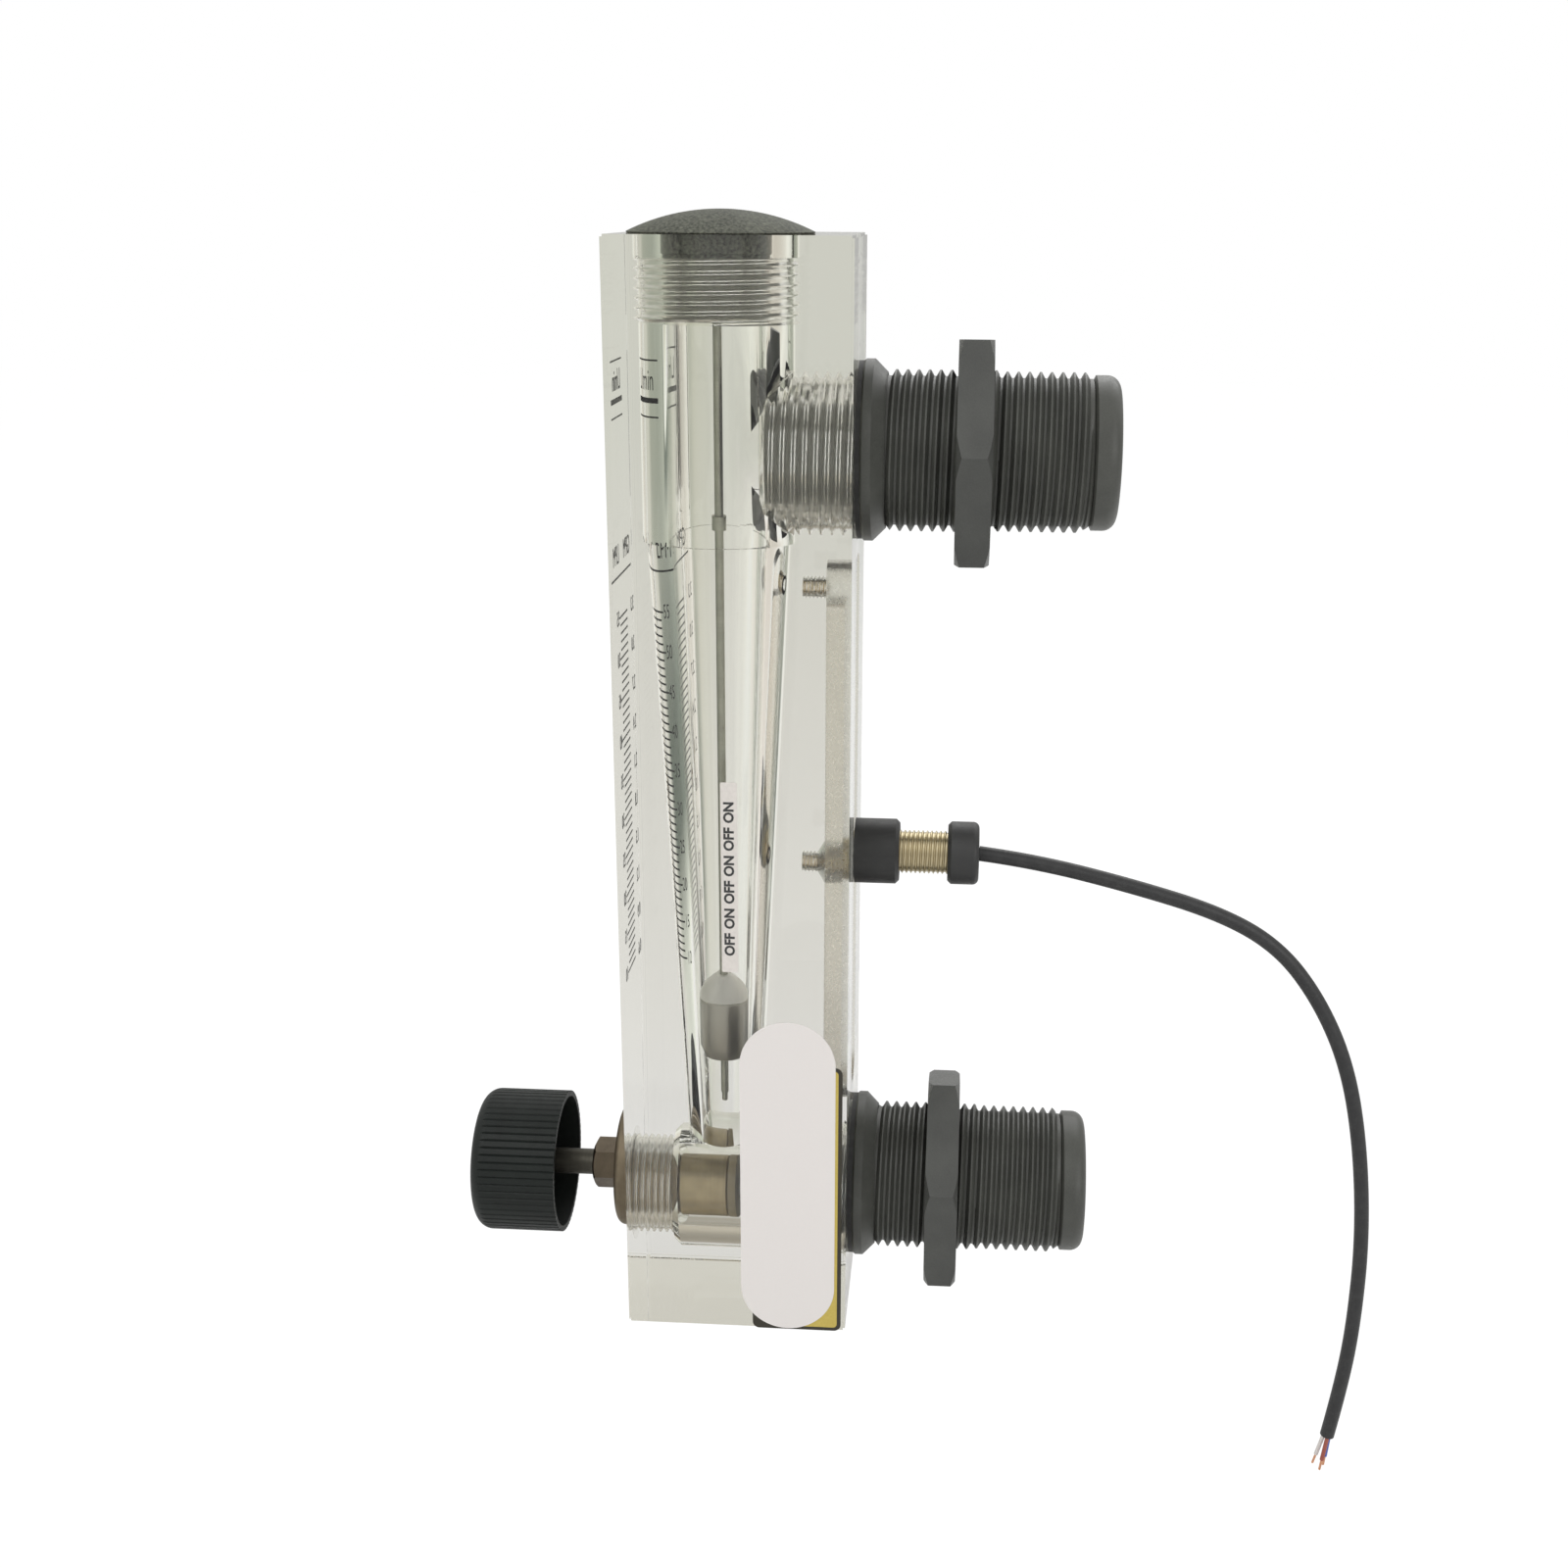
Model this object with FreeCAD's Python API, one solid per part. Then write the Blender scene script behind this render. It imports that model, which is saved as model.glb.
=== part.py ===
"""Rotameter in a clear acrylic block, with a control valve and a float alarm switch.

Units are millimetres. X is across the block, +Y points to the back, where the pipes join,
and +Z is up. The origin is on the inlet nipple's axis, half way along its free thread.
"""
import FreeCAD, Part

import math
import os

from FreeCAD import Vector

# Clear block
BLOCK_WIDTH = 48.0
BLOCK_DEPTH = 50.0
BLOCK_HEIGHT = 242.0
BLOCK_EDGE = 0.5
INLET_HEIGHT = 28.0
OUTLET_BELOW_TOP = 44.0
BORE_FROM_BACK = 29.0

# Float bore, from the wide outlet chamber down to the valve chamber
CHAMBER_R = 16.2
STEP_BELOW_TOP = 62.5
TAPER_TOP_R = 15.3
TAPER_LOW_R = 8.4

# One inch pipe thread of the nipples' free ends, and the wider shank thread for block and lock nut
PIPE_THREAD_R = 16.62
SHANK_THREAD_R = 16.85
PORT_TAPPING_R = 15.15
THREAD_PLAY = 0.05
PORT_THREAD_DEPTH = 19.5

# Valve chamber and the bonnet's thread
VALVE_CHAMBER_DEPTH = 40.5
VALVE_CHAMBER_EDGE = 1.5
BONNET_THREAD_R = 12.0

# Channel and inserts in the back face
CHANNEL_WIDTH = 12.0
CHANNEL_DEPTH = 6.0
CHANNEL_LOW = 52.0
CHANNEL_BELOW_TOP = 66.0
SENSOR_HEIGHT = 108.6
SPARE_INSERT_BELOW_TOP = 72.0
INSERT_R = 2.35
INSERT_LENGTH = 5.2
INSERT_BORE_R = 1.25

# Plastic strip in the channel, which the sensor passes
STRIP_PLAY = 0.2
STRIP_GAP = 0.1
STRIP_THICKNESS = 3.8
STRIP_LOW = 53.0
STRIP_BELOW_TOP = 75.1
STRIP_CORNER = 1.5

# Nipples, seals and lock nuts
NIPPLE_BORE_R = 9.5
NIPPLE_ENGAGEMENT = 18.5
PIPE_THREAD_START = 29.1
NIPPLE_THREAD_END = 48.6
NIPPLE_LENGTH = 54.3
NIPPLE_NOSE_R = 16.1
NIPPLE_NOSE_ROUND = 2.8
NIPPLE_EDGE = 1.0
FLANGE_R = 19.0
FLANGE_THICKNESS = 2.2
PORT_SEAL_THICKNESS = 1.0
PORT_SEAL_R = 18.6
NUT_ACROSS_FLATS = 46.0
NUT_THICKNESS = 7.3
NUT_EDGE = 1.1
NUT_EDGE_SLOPE = 2.0
INLET_NUT_OFFSET = 17.7
OUTLET_NUT_OFFSET = 20.6
INLET_NUT_ANGLE = 17.7
OUTLET_NUT_ANGLE = 4.0

# Top plug
PLUG_THREAD_R = 17.0
PLUG_NECK_R = 16.9
PLUG_NECK_LENGTH = 4.6
PLUG_DEPTH = 17.0
PLUG_EDGE = 0.9
PLUG_HOLE_RUNOUT = 0.6
PLUG_HEAD_R = 19.5
PLUG_HEAD_GAP = 0.05
PLUG_RIM = 0.25
PLUG_DOME = 4.5
PLUG_SEAL_THICKNESS = 0.8
PLUG_SEAL_R = 18.4

# Guide rod and its two stops
ROD_R = 1.4
ROD_IN_PLUG = 9.0
ROD_LOW = 50.5
ROD_TAIL_R = 1.05
ROD_TAIL = 2.0
TOP_STOP_R = 2.3
TOP_STOP_ABOVE_STEP = 1.5
TOP_STOP_LENGTH = 3.0
LOW_STOP_R = 3.0
LOW_STOP_LENGTH = 0.95
STOP_PLAY = 0.02

# Float
FLOAT_LOW = 61.3
FLOAT_R = 8.7
FLOAT_FOOT_R = 7.2
FLOAT_FOOT_TAPER = 3.4
FLOAT_BODY_LENGTH = 14.3
FLOAT_CONE = 4.0
FLOAT_TIP_R = 2.3
FLOAT_PLAY = 0.05
FLOAT_SEAT_GAP = 0.05
FLOAT_WALL = 1.5
FLOAT_HUB_R = 2.6
FLOAT_FLOOR = 5.7
MAGNET_LENGTH = 5.6
FIT_PLAY = 0.03

# Valve, measured outwards from the front face of the block
BONNET_SEAL_THICKNESS = 0.8
BONNET_SEAL_R = 13.9
BONNET_FLANGE_R = 14.35
BONNET_FLANGE = 4.1
BONNET_FLANGE_ROUND = 1.8
BONNET_THREAD_LENGTH = 9.5
BONNET_EDGE = 0.7
PACKING_CHAMBER_R = 4.6
PACKING_CHAMBER_DEPTH = 2.4
PACKING_LENGTH = 1.2
BONNET_WEB = 0.8
GLAND_ACROSS_FLATS = 10.4
GLAND_LENGTH = 6.6
GLAND_EDGE = 0.9
GLAND_ANGLE = 10.0
STEM_R = 3.0
STEM_THREAD_R = 5.0
STEM_THREAD_LENGTH = 9.5
STEM_BACK_GAP = 1.0
STEM_SOCKET = 4.7
STEM_GROOVE_R = 2.2
STEM_GROOVE = 1.5
STEM_PLAY = 0.05
STEM_FLAT = 2.3
SWIVEL_PIN_R = 0.6
OPEN_GAP = 1.0
DISC_R = 11.3
DISC_LENGTH = 11.6
DISC_EDGE = 0.5
DISC_SEAL_R = 11.45
DISC_SEAL_THICKNESS = 1.8
SEAL_SCREW_HEAD_R = 4.0
SEAL_SCREW_HEAD = 2.0
SEAL_SCREW_R = 2.0
SEAL_SCREW_LENGTH = 5.0

# Knob
KNOB_R = 16.6
KNOB_LENGTH = 20.2
KNOB_FROM_FACE = 18.3
KNOB_SKIRT = 1.3
KNOB_FRONT = 4.0
KNOB_ROUND = 3.6
KNOB_FLUTES = 60
KNOB_FLUTE_DEPTH = 0.3
KNOB_FLUTE_SHARE = 0.7
KNOB_HUB_R = 4.3
KNOB_HUB_RECESS = 5.0
KNOB_BORE_DEPTH = 9.5

# Alarm sensor, measured outwards from the back face of the block
SENSOR_R = 4.85
SENSOR_STUD_R = 1.22
SENSOR_STUD_LENGTH = 4.7
SENSOR_LENGTH = 29.6
SENSOR_SEAT_GAP = 0.2
SENSOR_NUT_R = 7.3
SENSOR_NUT_LENGTH = 10.0
SENSOR_NUT_EDGE = 0.8
SENSOR_CAP_R = 7.05
SENSOR_CAP_LENGTH = 7.0
SENSOR_CAP_ROUND = 1.4
SENSOR_CAP_OVERLAP = 3.0
SENSOR_POCKET_R = 3.2
SENSOR_POCKET_LOW = 4.0
POTTING_SHORT = 1.5
REED_R = 1.15
REED_LENGTH = 12.0
REED_LEAD_R = 0.3
REED_LEAD = 1.5
SENSOR_PLAY = 0.05

# Cable and its bare leads
CABLE_R = 1.7
CABLE_ROUTE = [(0.0, 0.0), (11.9, -1.4), (33.4, -6.4), (54.4, -12.6), (67.9, -20.3),
               (77.7, -32.6), (85.4, -48.6), (90.0, -68.6), (92.6, -92.6), (92.5, -115.6),
               (91.0, -132.6), (88.7, -147.0)]
CABLE_BEND_SHARE = 0.45
LEAD_R = 0.5
LEAD_LENGTH = 9.0
LEAD_RING = 0.75
LEAD_SPREAD = 5.0
LEAD_NAMES = ("lead_brown", "lead_blue", "lead_white")

# Places worked out from the sizes
BACK_Y = -(INLET_NUT_OFFSET + NUT_THICKNESS + NIPPLE_THREAD_END) / 2
FRONT_Y = BACK_Y - BLOCK_DEPTH
BASE_Z = -INLET_HEIGHT
TOP_Z = BASE_Z + BLOCK_HEIGHT
OUTLET_Z = TOP_Z - OUTLET_BELOW_TOP
BORE_Y = BACK_Y - BORE_FROM_BACK
STEP_Z = TOP_Z - STEP_BELOW_TOP
SENSOR_Z = BASE_Z + SENSOR_HEIGHT
SPARE_Z = TOP_Z - SPARE_INSERT_BELOW_TOP
CHANNEL_Y = BACK_Y - CHANNEL_DEPTH
BONNET_FRONT_Y = FRONT_Y - BONNET_SEAL_THICKNESS - BONNET_FLANGE
BONNET_END_Y = FRONT_Y + BONNET_THREAD_LENGTH
DISC_BACK_Y = BONNET_END_Y + OPEN_GAP
DISC_FRONT_Y = DISC_BACK_Y + DISC_LENGTH
CAP_END_Y = CHANNEL_Y + SENSOR_SEAT_GAP + SENSOR_LENGTH - SENSOR_CAP_OVERLAP + SENSOR_CAP_LENGTH

# How near two places must be to count as one
SAME_PLACE = 1e-4

X_AXIS = Vector(1, 0, 0)
Y_AXIS = Vector(0, 1, 0)
Z_AXIS = Vector(0, 0, 1)


class Profile:
    """Closed half section of a turned piece, as (radius, place along the axis) points."""

    def __init__(self, radius, along):
        self.points = [Vector(radius, 0, along)]
        self.edges = []

    def line(self, radius, along):
        """Draw a straight edge to the next point."""
        end = Vector(radius, 0, along)
        if end.distanceToPoint(self.points[-1]) > SAME_PLACE:
            self.edges.append(Part.makeLine(self.points[-1], end))
            self.points.append(end)
        return self

    def arc(self, middle, radius, along):
        """Draw an arc through a middle point to the next point."""
        end = Vector(radius, 0, along)
        through = Vector(middle[0], 0, middle[1])
        self.edges.append(Part.Arc(self.points[-1], through, end).toShape())
        self.points.append(end)
        return self

    def turned(self):
        """Close the section and turn it about Z."""
        self.line(self.points[0].x, self.points[0].z)
        face = Part.Face(Part.Wire(self.edges))
        return face.revolve(Vector(0, 0, 0), Z_AXIS, 360)


def round_middle(centre, radius, degrees):
    """Give the point on a circle that an arc passes half way."""
    angle = math.radians(degrees)
    return (centre[0] + radius * math.cos(angle), centre[1] + radius * math.sin(angle))


def lay_back(shape, x=0.0, z=0.0):
    """Turn a piece made about Z so that it lies about Y at a given place."""
    laid = shape.copy()
    laid.rotate(Vector(0, 0, 0), X_AXIS, -90)
    laid.translate(Vector(x, 0, z))
    return laid


def stand_at_bore(shape):
    """Move a piece made about Z onto the float bore's axis."""
    moved = shape.copy()
    moved.translate(Vector(0, BORE_Y, 0))
    return moved


def rod_y(radius, start, end, x=0.0, z=0.0):
    """Make a cylinder along Y between two places."""
    return Part.makeCylinder(radius, end - start, Vector(x, start, z), Y_AXIS)


def rod_z(radius, low, high):
    """Make a cylinder along the float bore between two heights."""
    return Part.makeCylinder(radius, high - low, Vector(0, BORE_Y, low), Z_AXIS)


def ring(inner, outer, low, high):
    """Make a plain ring about Z."""
    return Profile(inner, low).line(outer, low).line(outer, high).line(inner, high).turned()


def hexagon_prism(across_flats, low, high, angle):
    """Make a hexagonal prism about Z, one corner at the given angle."""
    corner = across_flats / math.sqrt(3)
    corners = []
    for index in range(7):
        turn = math.radians(angle + 60 * index)
        corners.append(Vector(corner * math.cos(turn), corner * math.sin(turn), low))
    return Part.Face(Part.makePolygon(corners)).extrude(Vector(0, 0, high - low))


def chamfered_hexagon(across_flats, low, high, angle, edge):
    """Make a hexagonal prism whose corners are turned off at both faces."""
    corner = across_flats / math.sqrt(3)
    face = corner - NUT_EDGE_SLOPE * edge
    turned = (Profile(0, low).line(face, low).line(corner, low + edge)
              .line(corner, high - edge).line(face, high).line(0, high).turned())
    return hexagon_prism(across_flats, low, high, angle).common(turned)


# Clear block

def float_bore():
    """Give the hollow from the top plug down to the valve chamber."""
    throat_z = PORT_TAPPING_R
    plug_hole = rod_z(PLUG_THREAD_R + THREAD_PLAY, TOP_Z - PLUG_DEPTH - PLUG_HOLE_RUNOUT, TOP_Z)
    chamber = rod_z(CHAMBER_R, STEP_Z, TOP_Z)
    taper = Part.makeCone(TAPER_LOW_R, TAPER_TOP_R, STEP_Z - throat_z,
                          Vector(0, BORE_Y, throat_z), Z_AXIS)
    throat = rod_z(TAPER_LOW_R, 0, throat_z)
    return plug_hole.fuse([chamber, taper, throat]).removeSplitter()


def outlet_hole():
    """Give the tapped hole of the upper port, as far as the chamber's axis."""
    thread = rod_y(SHANK_THREAD_R + THREAD_PLAY, BACK_Y - PORT_THREAD_DEPTH, BACK_Y, z=OUTLET_Z)
    return thread.fuse(rod_y(PORT_TAPPING_R, BORE_Y, BACK_Y, z=OUTLET_Z))


def inlet_hole():
    """Give the tapped hole of the lower port, the valve chamber and the bonnet's hole."""
    end = BACK_Y - VALVE_CHAMBER_DEPTH
    chamber = (Profile(0, end).line(PORT_TAPPING_R - VALVE_CHAMBER_EDGE, end)
               .line(PORT_TAPPING_R, end + VALVE_CHAMBER_EDGE).line(PORT_TAPPING_R, BACK_Y)
               .line(0, BACK_Y).turned())
    thread = rod_y(SHANK_THREAD_R + THREAD_PLAY, BACK_Y - PORT_THREAD_DEPTH, BACK_Y)
    bonnet = rod_y(BONNET_THREAD_R + THREAD_PLAY, FRONT_Y, end)
    return lay_back(chamber).fuse([thread, bonnet])


def back_channel():
    """Give the round ended channel of the back face with its two insert holes."""
    half = CHANNEL_WIDTH / 2
    low = BASE_Z + CHANNEL_LOW + half
    high = TOP_Z - CHANNEL_BELOW_TOP - half
    channel = Part.makeBox(CHANNEL_WIDTH, CHANNEL_DEPTH, high - low, Vector(-half, CHANNEL_Y, low))
    ends = [rod_y(half, CHANNEL_Y, BACK_Y, z=place) for place in (low, high)]
    holes = [rod_y(INSERT_R, CHANNEL_Y - INSERT_LENGTH, BACK_Y, z=place)
             for place in (SENSOR_Z, SPARE_Z)]
    return channel.fuse(ends + holes)


def make_block():
    """Make the clear block with all its hollows."""
    corner = Vector(-BLOCK_WIDTH / 2, FRONT_Y, BASE_Z)
    block = Part.makeBox(BLOCK_WIDTH, BLOCK_DEPTH, BLOCK_HEIGHT, corner)
    block = block.makeChamfer(BLOCK_EDGE, block.Edges)
    for hollow in (float_bore(), outlet_hole(), inlet_hole(), back_channel()):
        block = block.cut(hollow)
    return block


def make_block_half(block, side):
    """Give the half of the block on one side of the plane in which its two halves are bonded."""
    half_width = BLOCK_WIDTH / 2
    corner = Vector((side - 1) / 2 * half_width, FRONT_Y, BASE_Z)
    return block.common(Part.makeBox(half_width, BLOCK_DEPTH, BLOCK_HEIGHT, corner))


# Top plug, guide rod and stops

def make_top_plug():
    """Make the domed screw plug, with a recess for its seal and a blind hole for the rod."""
    seat = TOP_Z + PLUG_SEAL_THICKNESS
    edge = TOP_Z + PLUG_HEAD_GAP
    rim = edge + PLUG_RIM
    apex = rim + PLUG_DOME
    foot = TOP_Z - PLUG_DEPTH
    neck = TOP_Z - PLUG_NECK_LENGTH
    dome_r = (PLUG_HEAD_R ** 2 + PLUG_DOME ** 2) / (2 * PLUG_DOME)
    half = math.degrees(math.asin(PLUG_HEAD_R / dome_r)) / 2
    middle = round_middle((0, apex - dome_r), dome_r, 90 - half)
    profile = (Profile(0, foot + ROD_IN_PLUG).line(ROD_R + STOP_PLAY, foot + ROD_IN_PLUG)
               .line(ROD_R + STOP_PLAY, foot).line(PLUG_THREAD_R - PLUG_EDGE, foot)
               .line(PLUG_THREAD_R, foot + PLUG_EDGE).line(PLUG_THREAD_R, neck)
               .line(PLUG_NECK_R, neck).line(PLUG_NECK_R, seat)
               .line(PLUG_SEAL_R + THREAD_PLAY, seat).line(PLUG_SEAL_R + THREAD_PLAY, edge)
               .line(PLUG_HEAD_R, edge).line(PLUG_HEAD_R, rim).arc(middle, 0, apex))
    return stand_at_bore(profile.turned())


def make_top_plug_seal():
    """Make the flat seal under the plug's head."""
    inner = PLUG_THREAD_R + THREAD_PLAY
    return stand_at_bore(ring(inner, PLUG_SEAL_R, TOP_Z, TOP_Z + PLUG_SEAL_THICKNESS))


def make_guide_rod():
    """Make the guide rod from the plug to its thin tail."""
    low = BASE_Z + ROD_LOW
    high = TOP_Z - PLUG_DEPTH + ROD_IN_PLUG
    return rod_z(ROD_R, low, high).fuse(rod_z(ROD_TAIL_R, low - ROD_TAIL, low)).removeSplitter()


def make_rod_top_stop():
    """Make the collar that ends the float's travel at the top."""
    low = STEP_Z + TOP_STOP_ABOVE_STEP
    return stand_at_bore(ring(ROD_R + STOP_PLAY, TOP_STOP_R, low, low + TOP_STOP_LENGTH))


def make_rod_low_stop():
    """Make the collar that the float rests on."""
    high = BASE_Z + FLOAT_LOW - FLOAT_SEAT_GAP
    return stand_at_bore(ring(ROD_R + STOP_PLAY, LOW_STOP_R, high - LOW_STOP_LENGTH, high))


# Float

def make_float_body():
    """Make the turned cup of the float, open at the top for the magnet."""
    low = BASE_Z + FLOAT_LOW
    high = low + FLOAT_BODY_LENGTH
    floor = low + FLOAT_FLOOR
    bore = ROD_R + FLOAT_PLAY
    pocket = FLOAT_R - FLOAT_WALL
    profile = (Profile(bore, low).line(FLOAT_FOOT_R, low).line(FLOAT_R, low + FLOAT_FOOT_TAPER)
               .line(FLOAT_R, high).line(pocket, high).line(pocket, floor)
               .line(FLOAT_HUB_R, floor).line(FLOAT_HUB_R, floor + MAGNET_LENGTH)
               .line(bore, floor + MAGNET_LENGTH))
    return stand_at_bore(profile.turned())


def make_float_magnet():
    """Make the ring magnet that works the alarm switch."""
    low = BASE_Z + FLOAT_LOW + FLOAT_FLOOR
    outer = FLOAT_R - FLOAT_WALL - FIT_PLAY
    return stand_at_bore(ring(FLOAT_HUB_R + FIT_PLAY, outer, low, low + MAGNET_LENGTH))


def make_float_cap():
    """Make the conical cap that closes the float."""
    low = BASE_Z + FLOAT_LOW + FLOAT_FLOOR + MAGNET_LENGTH
    rim = BASE_Z + FLOAT_LOW + FLOAT_BODY_LENGTH
    bore = ROD_R + FLOAT_PLAY
    spigot = FLOAT_R - FLOAT_WALL - FIT_PLAY
    profile = (Profile(bore, low).line(spigot, low).line(spigot, rim).line(FLOAT_R, rim)
               .line(FLOAT_TIP_R, rim + FLOAT_CONE).line(bore, rim + FLOAT_CONE))
    return stand_at_bore(profile.turned())


# Ports

def make_nipple(height):
    """Make a flanged nipple, with the shank thread up to the pipe thread of its free end."""
    inner_end = BACK_Y - NIPPLE_ENGAGEMENT
    seat = BACK_Y + PORT_SEAL_THICKNESS
    bevel = seat + FLANGE_THICKNESS
    pipe = BACK_Y + PIPE_THREAD_START
    nose = BACK_Y + NIPPLE_THREAD_END
    end = BACK_Y + NIPPLE_LENGTH
    rounding = NIPPLE_NOSE_ROUND
    middle = round_middle((NIPPLE_NOSE_R - rounding, end - rounding), rounding, 45)
    profile = (Profile(NIPPLE_BORE_R, inner_end).line(SHANK_THREAD_R - NIPPLE_EDGE, inner_end)
               .line(SHANK_THREAD_R, inner_end + NIPPLE_EDGE).line(SHANK_THREAD_R, seat)
               .line(FLANGE_R, seat).line(FLANGE_R, bevel)
               .line(SHANK_THREAD_R, bevel + FLANGE_R - SHANK_THREAD_R)
               .line(SHANK_THREAD_R, pipe).line(PIPE_THREAD_R, pipe).line(PIPE_THREAD_R, nose)
               .line(NIPPLE_NOSE_R, nose).line(NIPPLE_NOSE_R, end - rounding)
               .arc(middle, NIPPLE_NOSE_R - rounding, end).line(NIPPLE_BORE_R, end))
    return lay_back(profile.turned(), z=height)


def make_port_seal(height):
    """Make the flat seal between a nipple's flange and the block."""
    inner = SHANK_THREAD_R + THREAD_PLAY
    return lay_back(ring(inner, PORT_SEAL_R, BACK_Y, BACK_Y + PORT_SEAL_THICKNESS), z=height)


def make_lock_nut(height, offset, angle):
    """Make a hexagonal panel lock nut on a nipple."""
    low = BACK_Y + offset
    high = low + NUT_THICKNESS
    nut = chamfered_hexagon(NUT_ACROSS_FLATS, low, high, -angle, NUT_EDGE)
    bore = Part.makeCylinder(SHANK_THREAD_R + THREAD_PLAY, NUT_THICKNESS, Vector(0, 0, low), Z_AXIS)
    return lay_back(nut.cut(bore), z=height)


# Valve

def make_bonnet():
    """Make the valve bonnet with its packing chamber and stem thread."""
    seat = FRONT_Y - BONNET_SEAL_THICKNESS
    front = BONNET_FRONT_Y
    floor = front + PACKING_CHAMBER_DEPTH
    web = floor + BONNET_WEB
    edge = BONNET_FLANGE_ROUND
    middle = round_middle((BONNET_FLANGE_R - edge, front + edge), edge, -45)
    profile = (Profile(PACKING_CHAMBER_R, front).line(BONNET_FLANGE_R - edge, front)
               .arc(middle, BONNET_FLANGE_R, front + edge).line(BONNET_FLANGE_R, seat)
               .line(BONNET_THREAD_R, seat).line(BONNET_THREAD_R, BONNET_END_Y - BONNET_EDGE)
               .line(BONNET_THREAD_R - BONNET_EDGE, BONNET_END_Y)
               .line(STEM_THREAD_R + STEM_PLAY, BONNET_END_Y).line(STEM_THREAD_R + STEM_PLAY, web)
               .line(STEM_R + STEM_PLAY, web).line(STEM_R + STEM_PLAY, floor)
               .line(PACKING_CHAMBER_R, floor))
    return lay_back(profile.turned())


def make_bonnet_seal():
    """Make the flat seal between the bonnet's flange and the block."""
    inner = BONNET_THREAD_R + THREAD_PLAY
    return lay_back(ring(inner, BONNET_SEAL_R, FRONT_Y - BONNET_SEAL_THICKNESS, FRONT_Y))


def make_stem_packing():
    """Make the soft packing ring round the stem."""
    low = BONNET_FRONT_Y + PACKING_CHAMBER_DEPTH - PACKING_LENGTH
    outer = PACKING_CHAMBER_R - FIT_PLAY
    return lay_back(ring(STEM_R + STEM_PLAY, outer, low, low + PACKING_LENGTH))


def make_gland_nut():
    """Make the hexagonal gland nut with the spigot that presses the packing."""
    front = BONNET_FRONT_Y - GLAND_LENGTH
    spigot_end = BONNET_FRONT_Y + PACKING_CHAMBER_DEPTH - PACKING_LENGTH
    nut = chamfered_hexagon(GLAND_ACROSS_FLATS, front, BONNET_FRONT_Y, GLAND_ANGLE,
                            GLAND_EDGE)
    spigot = Part.makeCylinder(PACKING_CHAMBER_R - FIT_PLAY, spigot_end - BONNET_FRONT_Y,
                               Vector(0, 0, BONNET_FRONT_Y), Z_AXIS)
    bore = Part.makeCylinder(STEM_R + STEM_PLAY, spigot_end - front, Vector(0, 0, front), Z_AXIS)
    return lay_back(nut.fuse(spigot).cut(bore))


def make_stem():
    """Make the stem: knob end with a flat, thread, groove and swivel end."""
    knob_end = FRONT_Y - KNOB_FROM_FACE - KNOB_HUB_RECESS - KNOB_BORE_DEPTH
    web = BONNET_FRONT_Y + PACKING_CHAMBER_DEPTH + BONNET_WEB
    thread = web + STEM_BACK_GAP
    end = DISC_BACK_Y + STEM_SOCKET
    groove = DISC_BACK_Y + (STEM_SOCKET - STEM_GROOVE) / 2
    stem = rod_y(STEM_R, knob_end, end)
    stem = stem.fuse(rod_y(STEM_THREAD_R, thread, thread + STEM_THREAD_LENGTH)).removeSplitter()
    collar = rod_y(STEM_R, groove, groove + STEM_GROOVE)
    stem = stem.cut(collar.cut(rod_y(STEM_GROOVE_R, groove, groove + STEM_GROOVE)))
    flat = Part.makeBox(2 * STEM_R, KNOB_BORE_DEPTH, STEM_R,
                        Vector(-STEM_R, knob_end, STEM_FLAT))
    return stem.cut(flat)


def make_swivel_pin():
    """Make the cross pin that holds the disc on the turning stem."""
    reach = math.sqrt(DISC_R ** 2 - (STEM_GROOVE_R + 2 * SWIVEL_PIN_R) ** 2)
    place = Vector(pin_x(), DISC_BACK_Y + STEM_SOCKET / 2, -reach)
    return Part.makeCylinder(SWIVEL_PIN_R, 2 * reach, place, Z_AXIS)


def pin_x():
    """Give how far the swivel pin lies beside the stem's axis."""
    return STEM_GROOVE_R + SWIVEL_PIN_R + 2 * STEM_PLAY


def make_valve_disc():
    """Make the valve disc with its stem socket, pin hole and screw hole."""
    socket = DISC_BACK_Y + STEM_SOCKET + 2 * STEM_PLAY
    profile = (Profile(0, socket).line(STEM_R + STEM_PLAY, socket)
               .line(STEM_R + STEM_PLAY, DISC_BACK_Y).line(DISC_R - DISC_EDGE, DISC_BACK_Y)
               .line(DISC_R, DISC_BACK_Y + DISC_EDGE).line(DISC_R, DISC_FRONT_Y - DISC_EDGE)
               .line(DISC_R - DISC_EDGE, DISC_FRONT_Y).line(SEAL_SCREW_R, DISC_FRONT_Y)
               .line(SEAL_SCREW_R, DISC_FRONT_Y - SEAL_SCREW_LENGTH)
               .line(0, DISC_FRONT_Y - SEAL_SCREW_LENGTH))
    return lay_back(profile.turned()).cut(make_swivel_pin())


def make_disc_seal():
    """Make the rubber face of the valve disc."""
    return lay_back(ring(SEAL_SCREW_R, DISC_SEAL_R, DISC_FRONT_Y,
                         DISC_FRONT_Y + DISC_SEAL_THICKNESS))


def make_seal_screw():
    """Make the screw that holds the rubber face."""
    seat = DISC_FRONT_Y + DISC_SEAL_THICKNESS
    shank = rod_y(SEAL_SCREW_R, DISC_FRONT_Y - SEAL_SCREW_LENGTH, seat)
    head = rod_y(SEAL_SCREW_HEAD_R, seat, seat + SEAL_SCREW_HEAD)
    head = head.makeFillet(SEAL_SCREW_HEAD / 2, [head.Edges[edge_at(head, seat + SEAL_SCREW_HEAD)]])
    return shank.fuse(head).removeSplitter()


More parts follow.
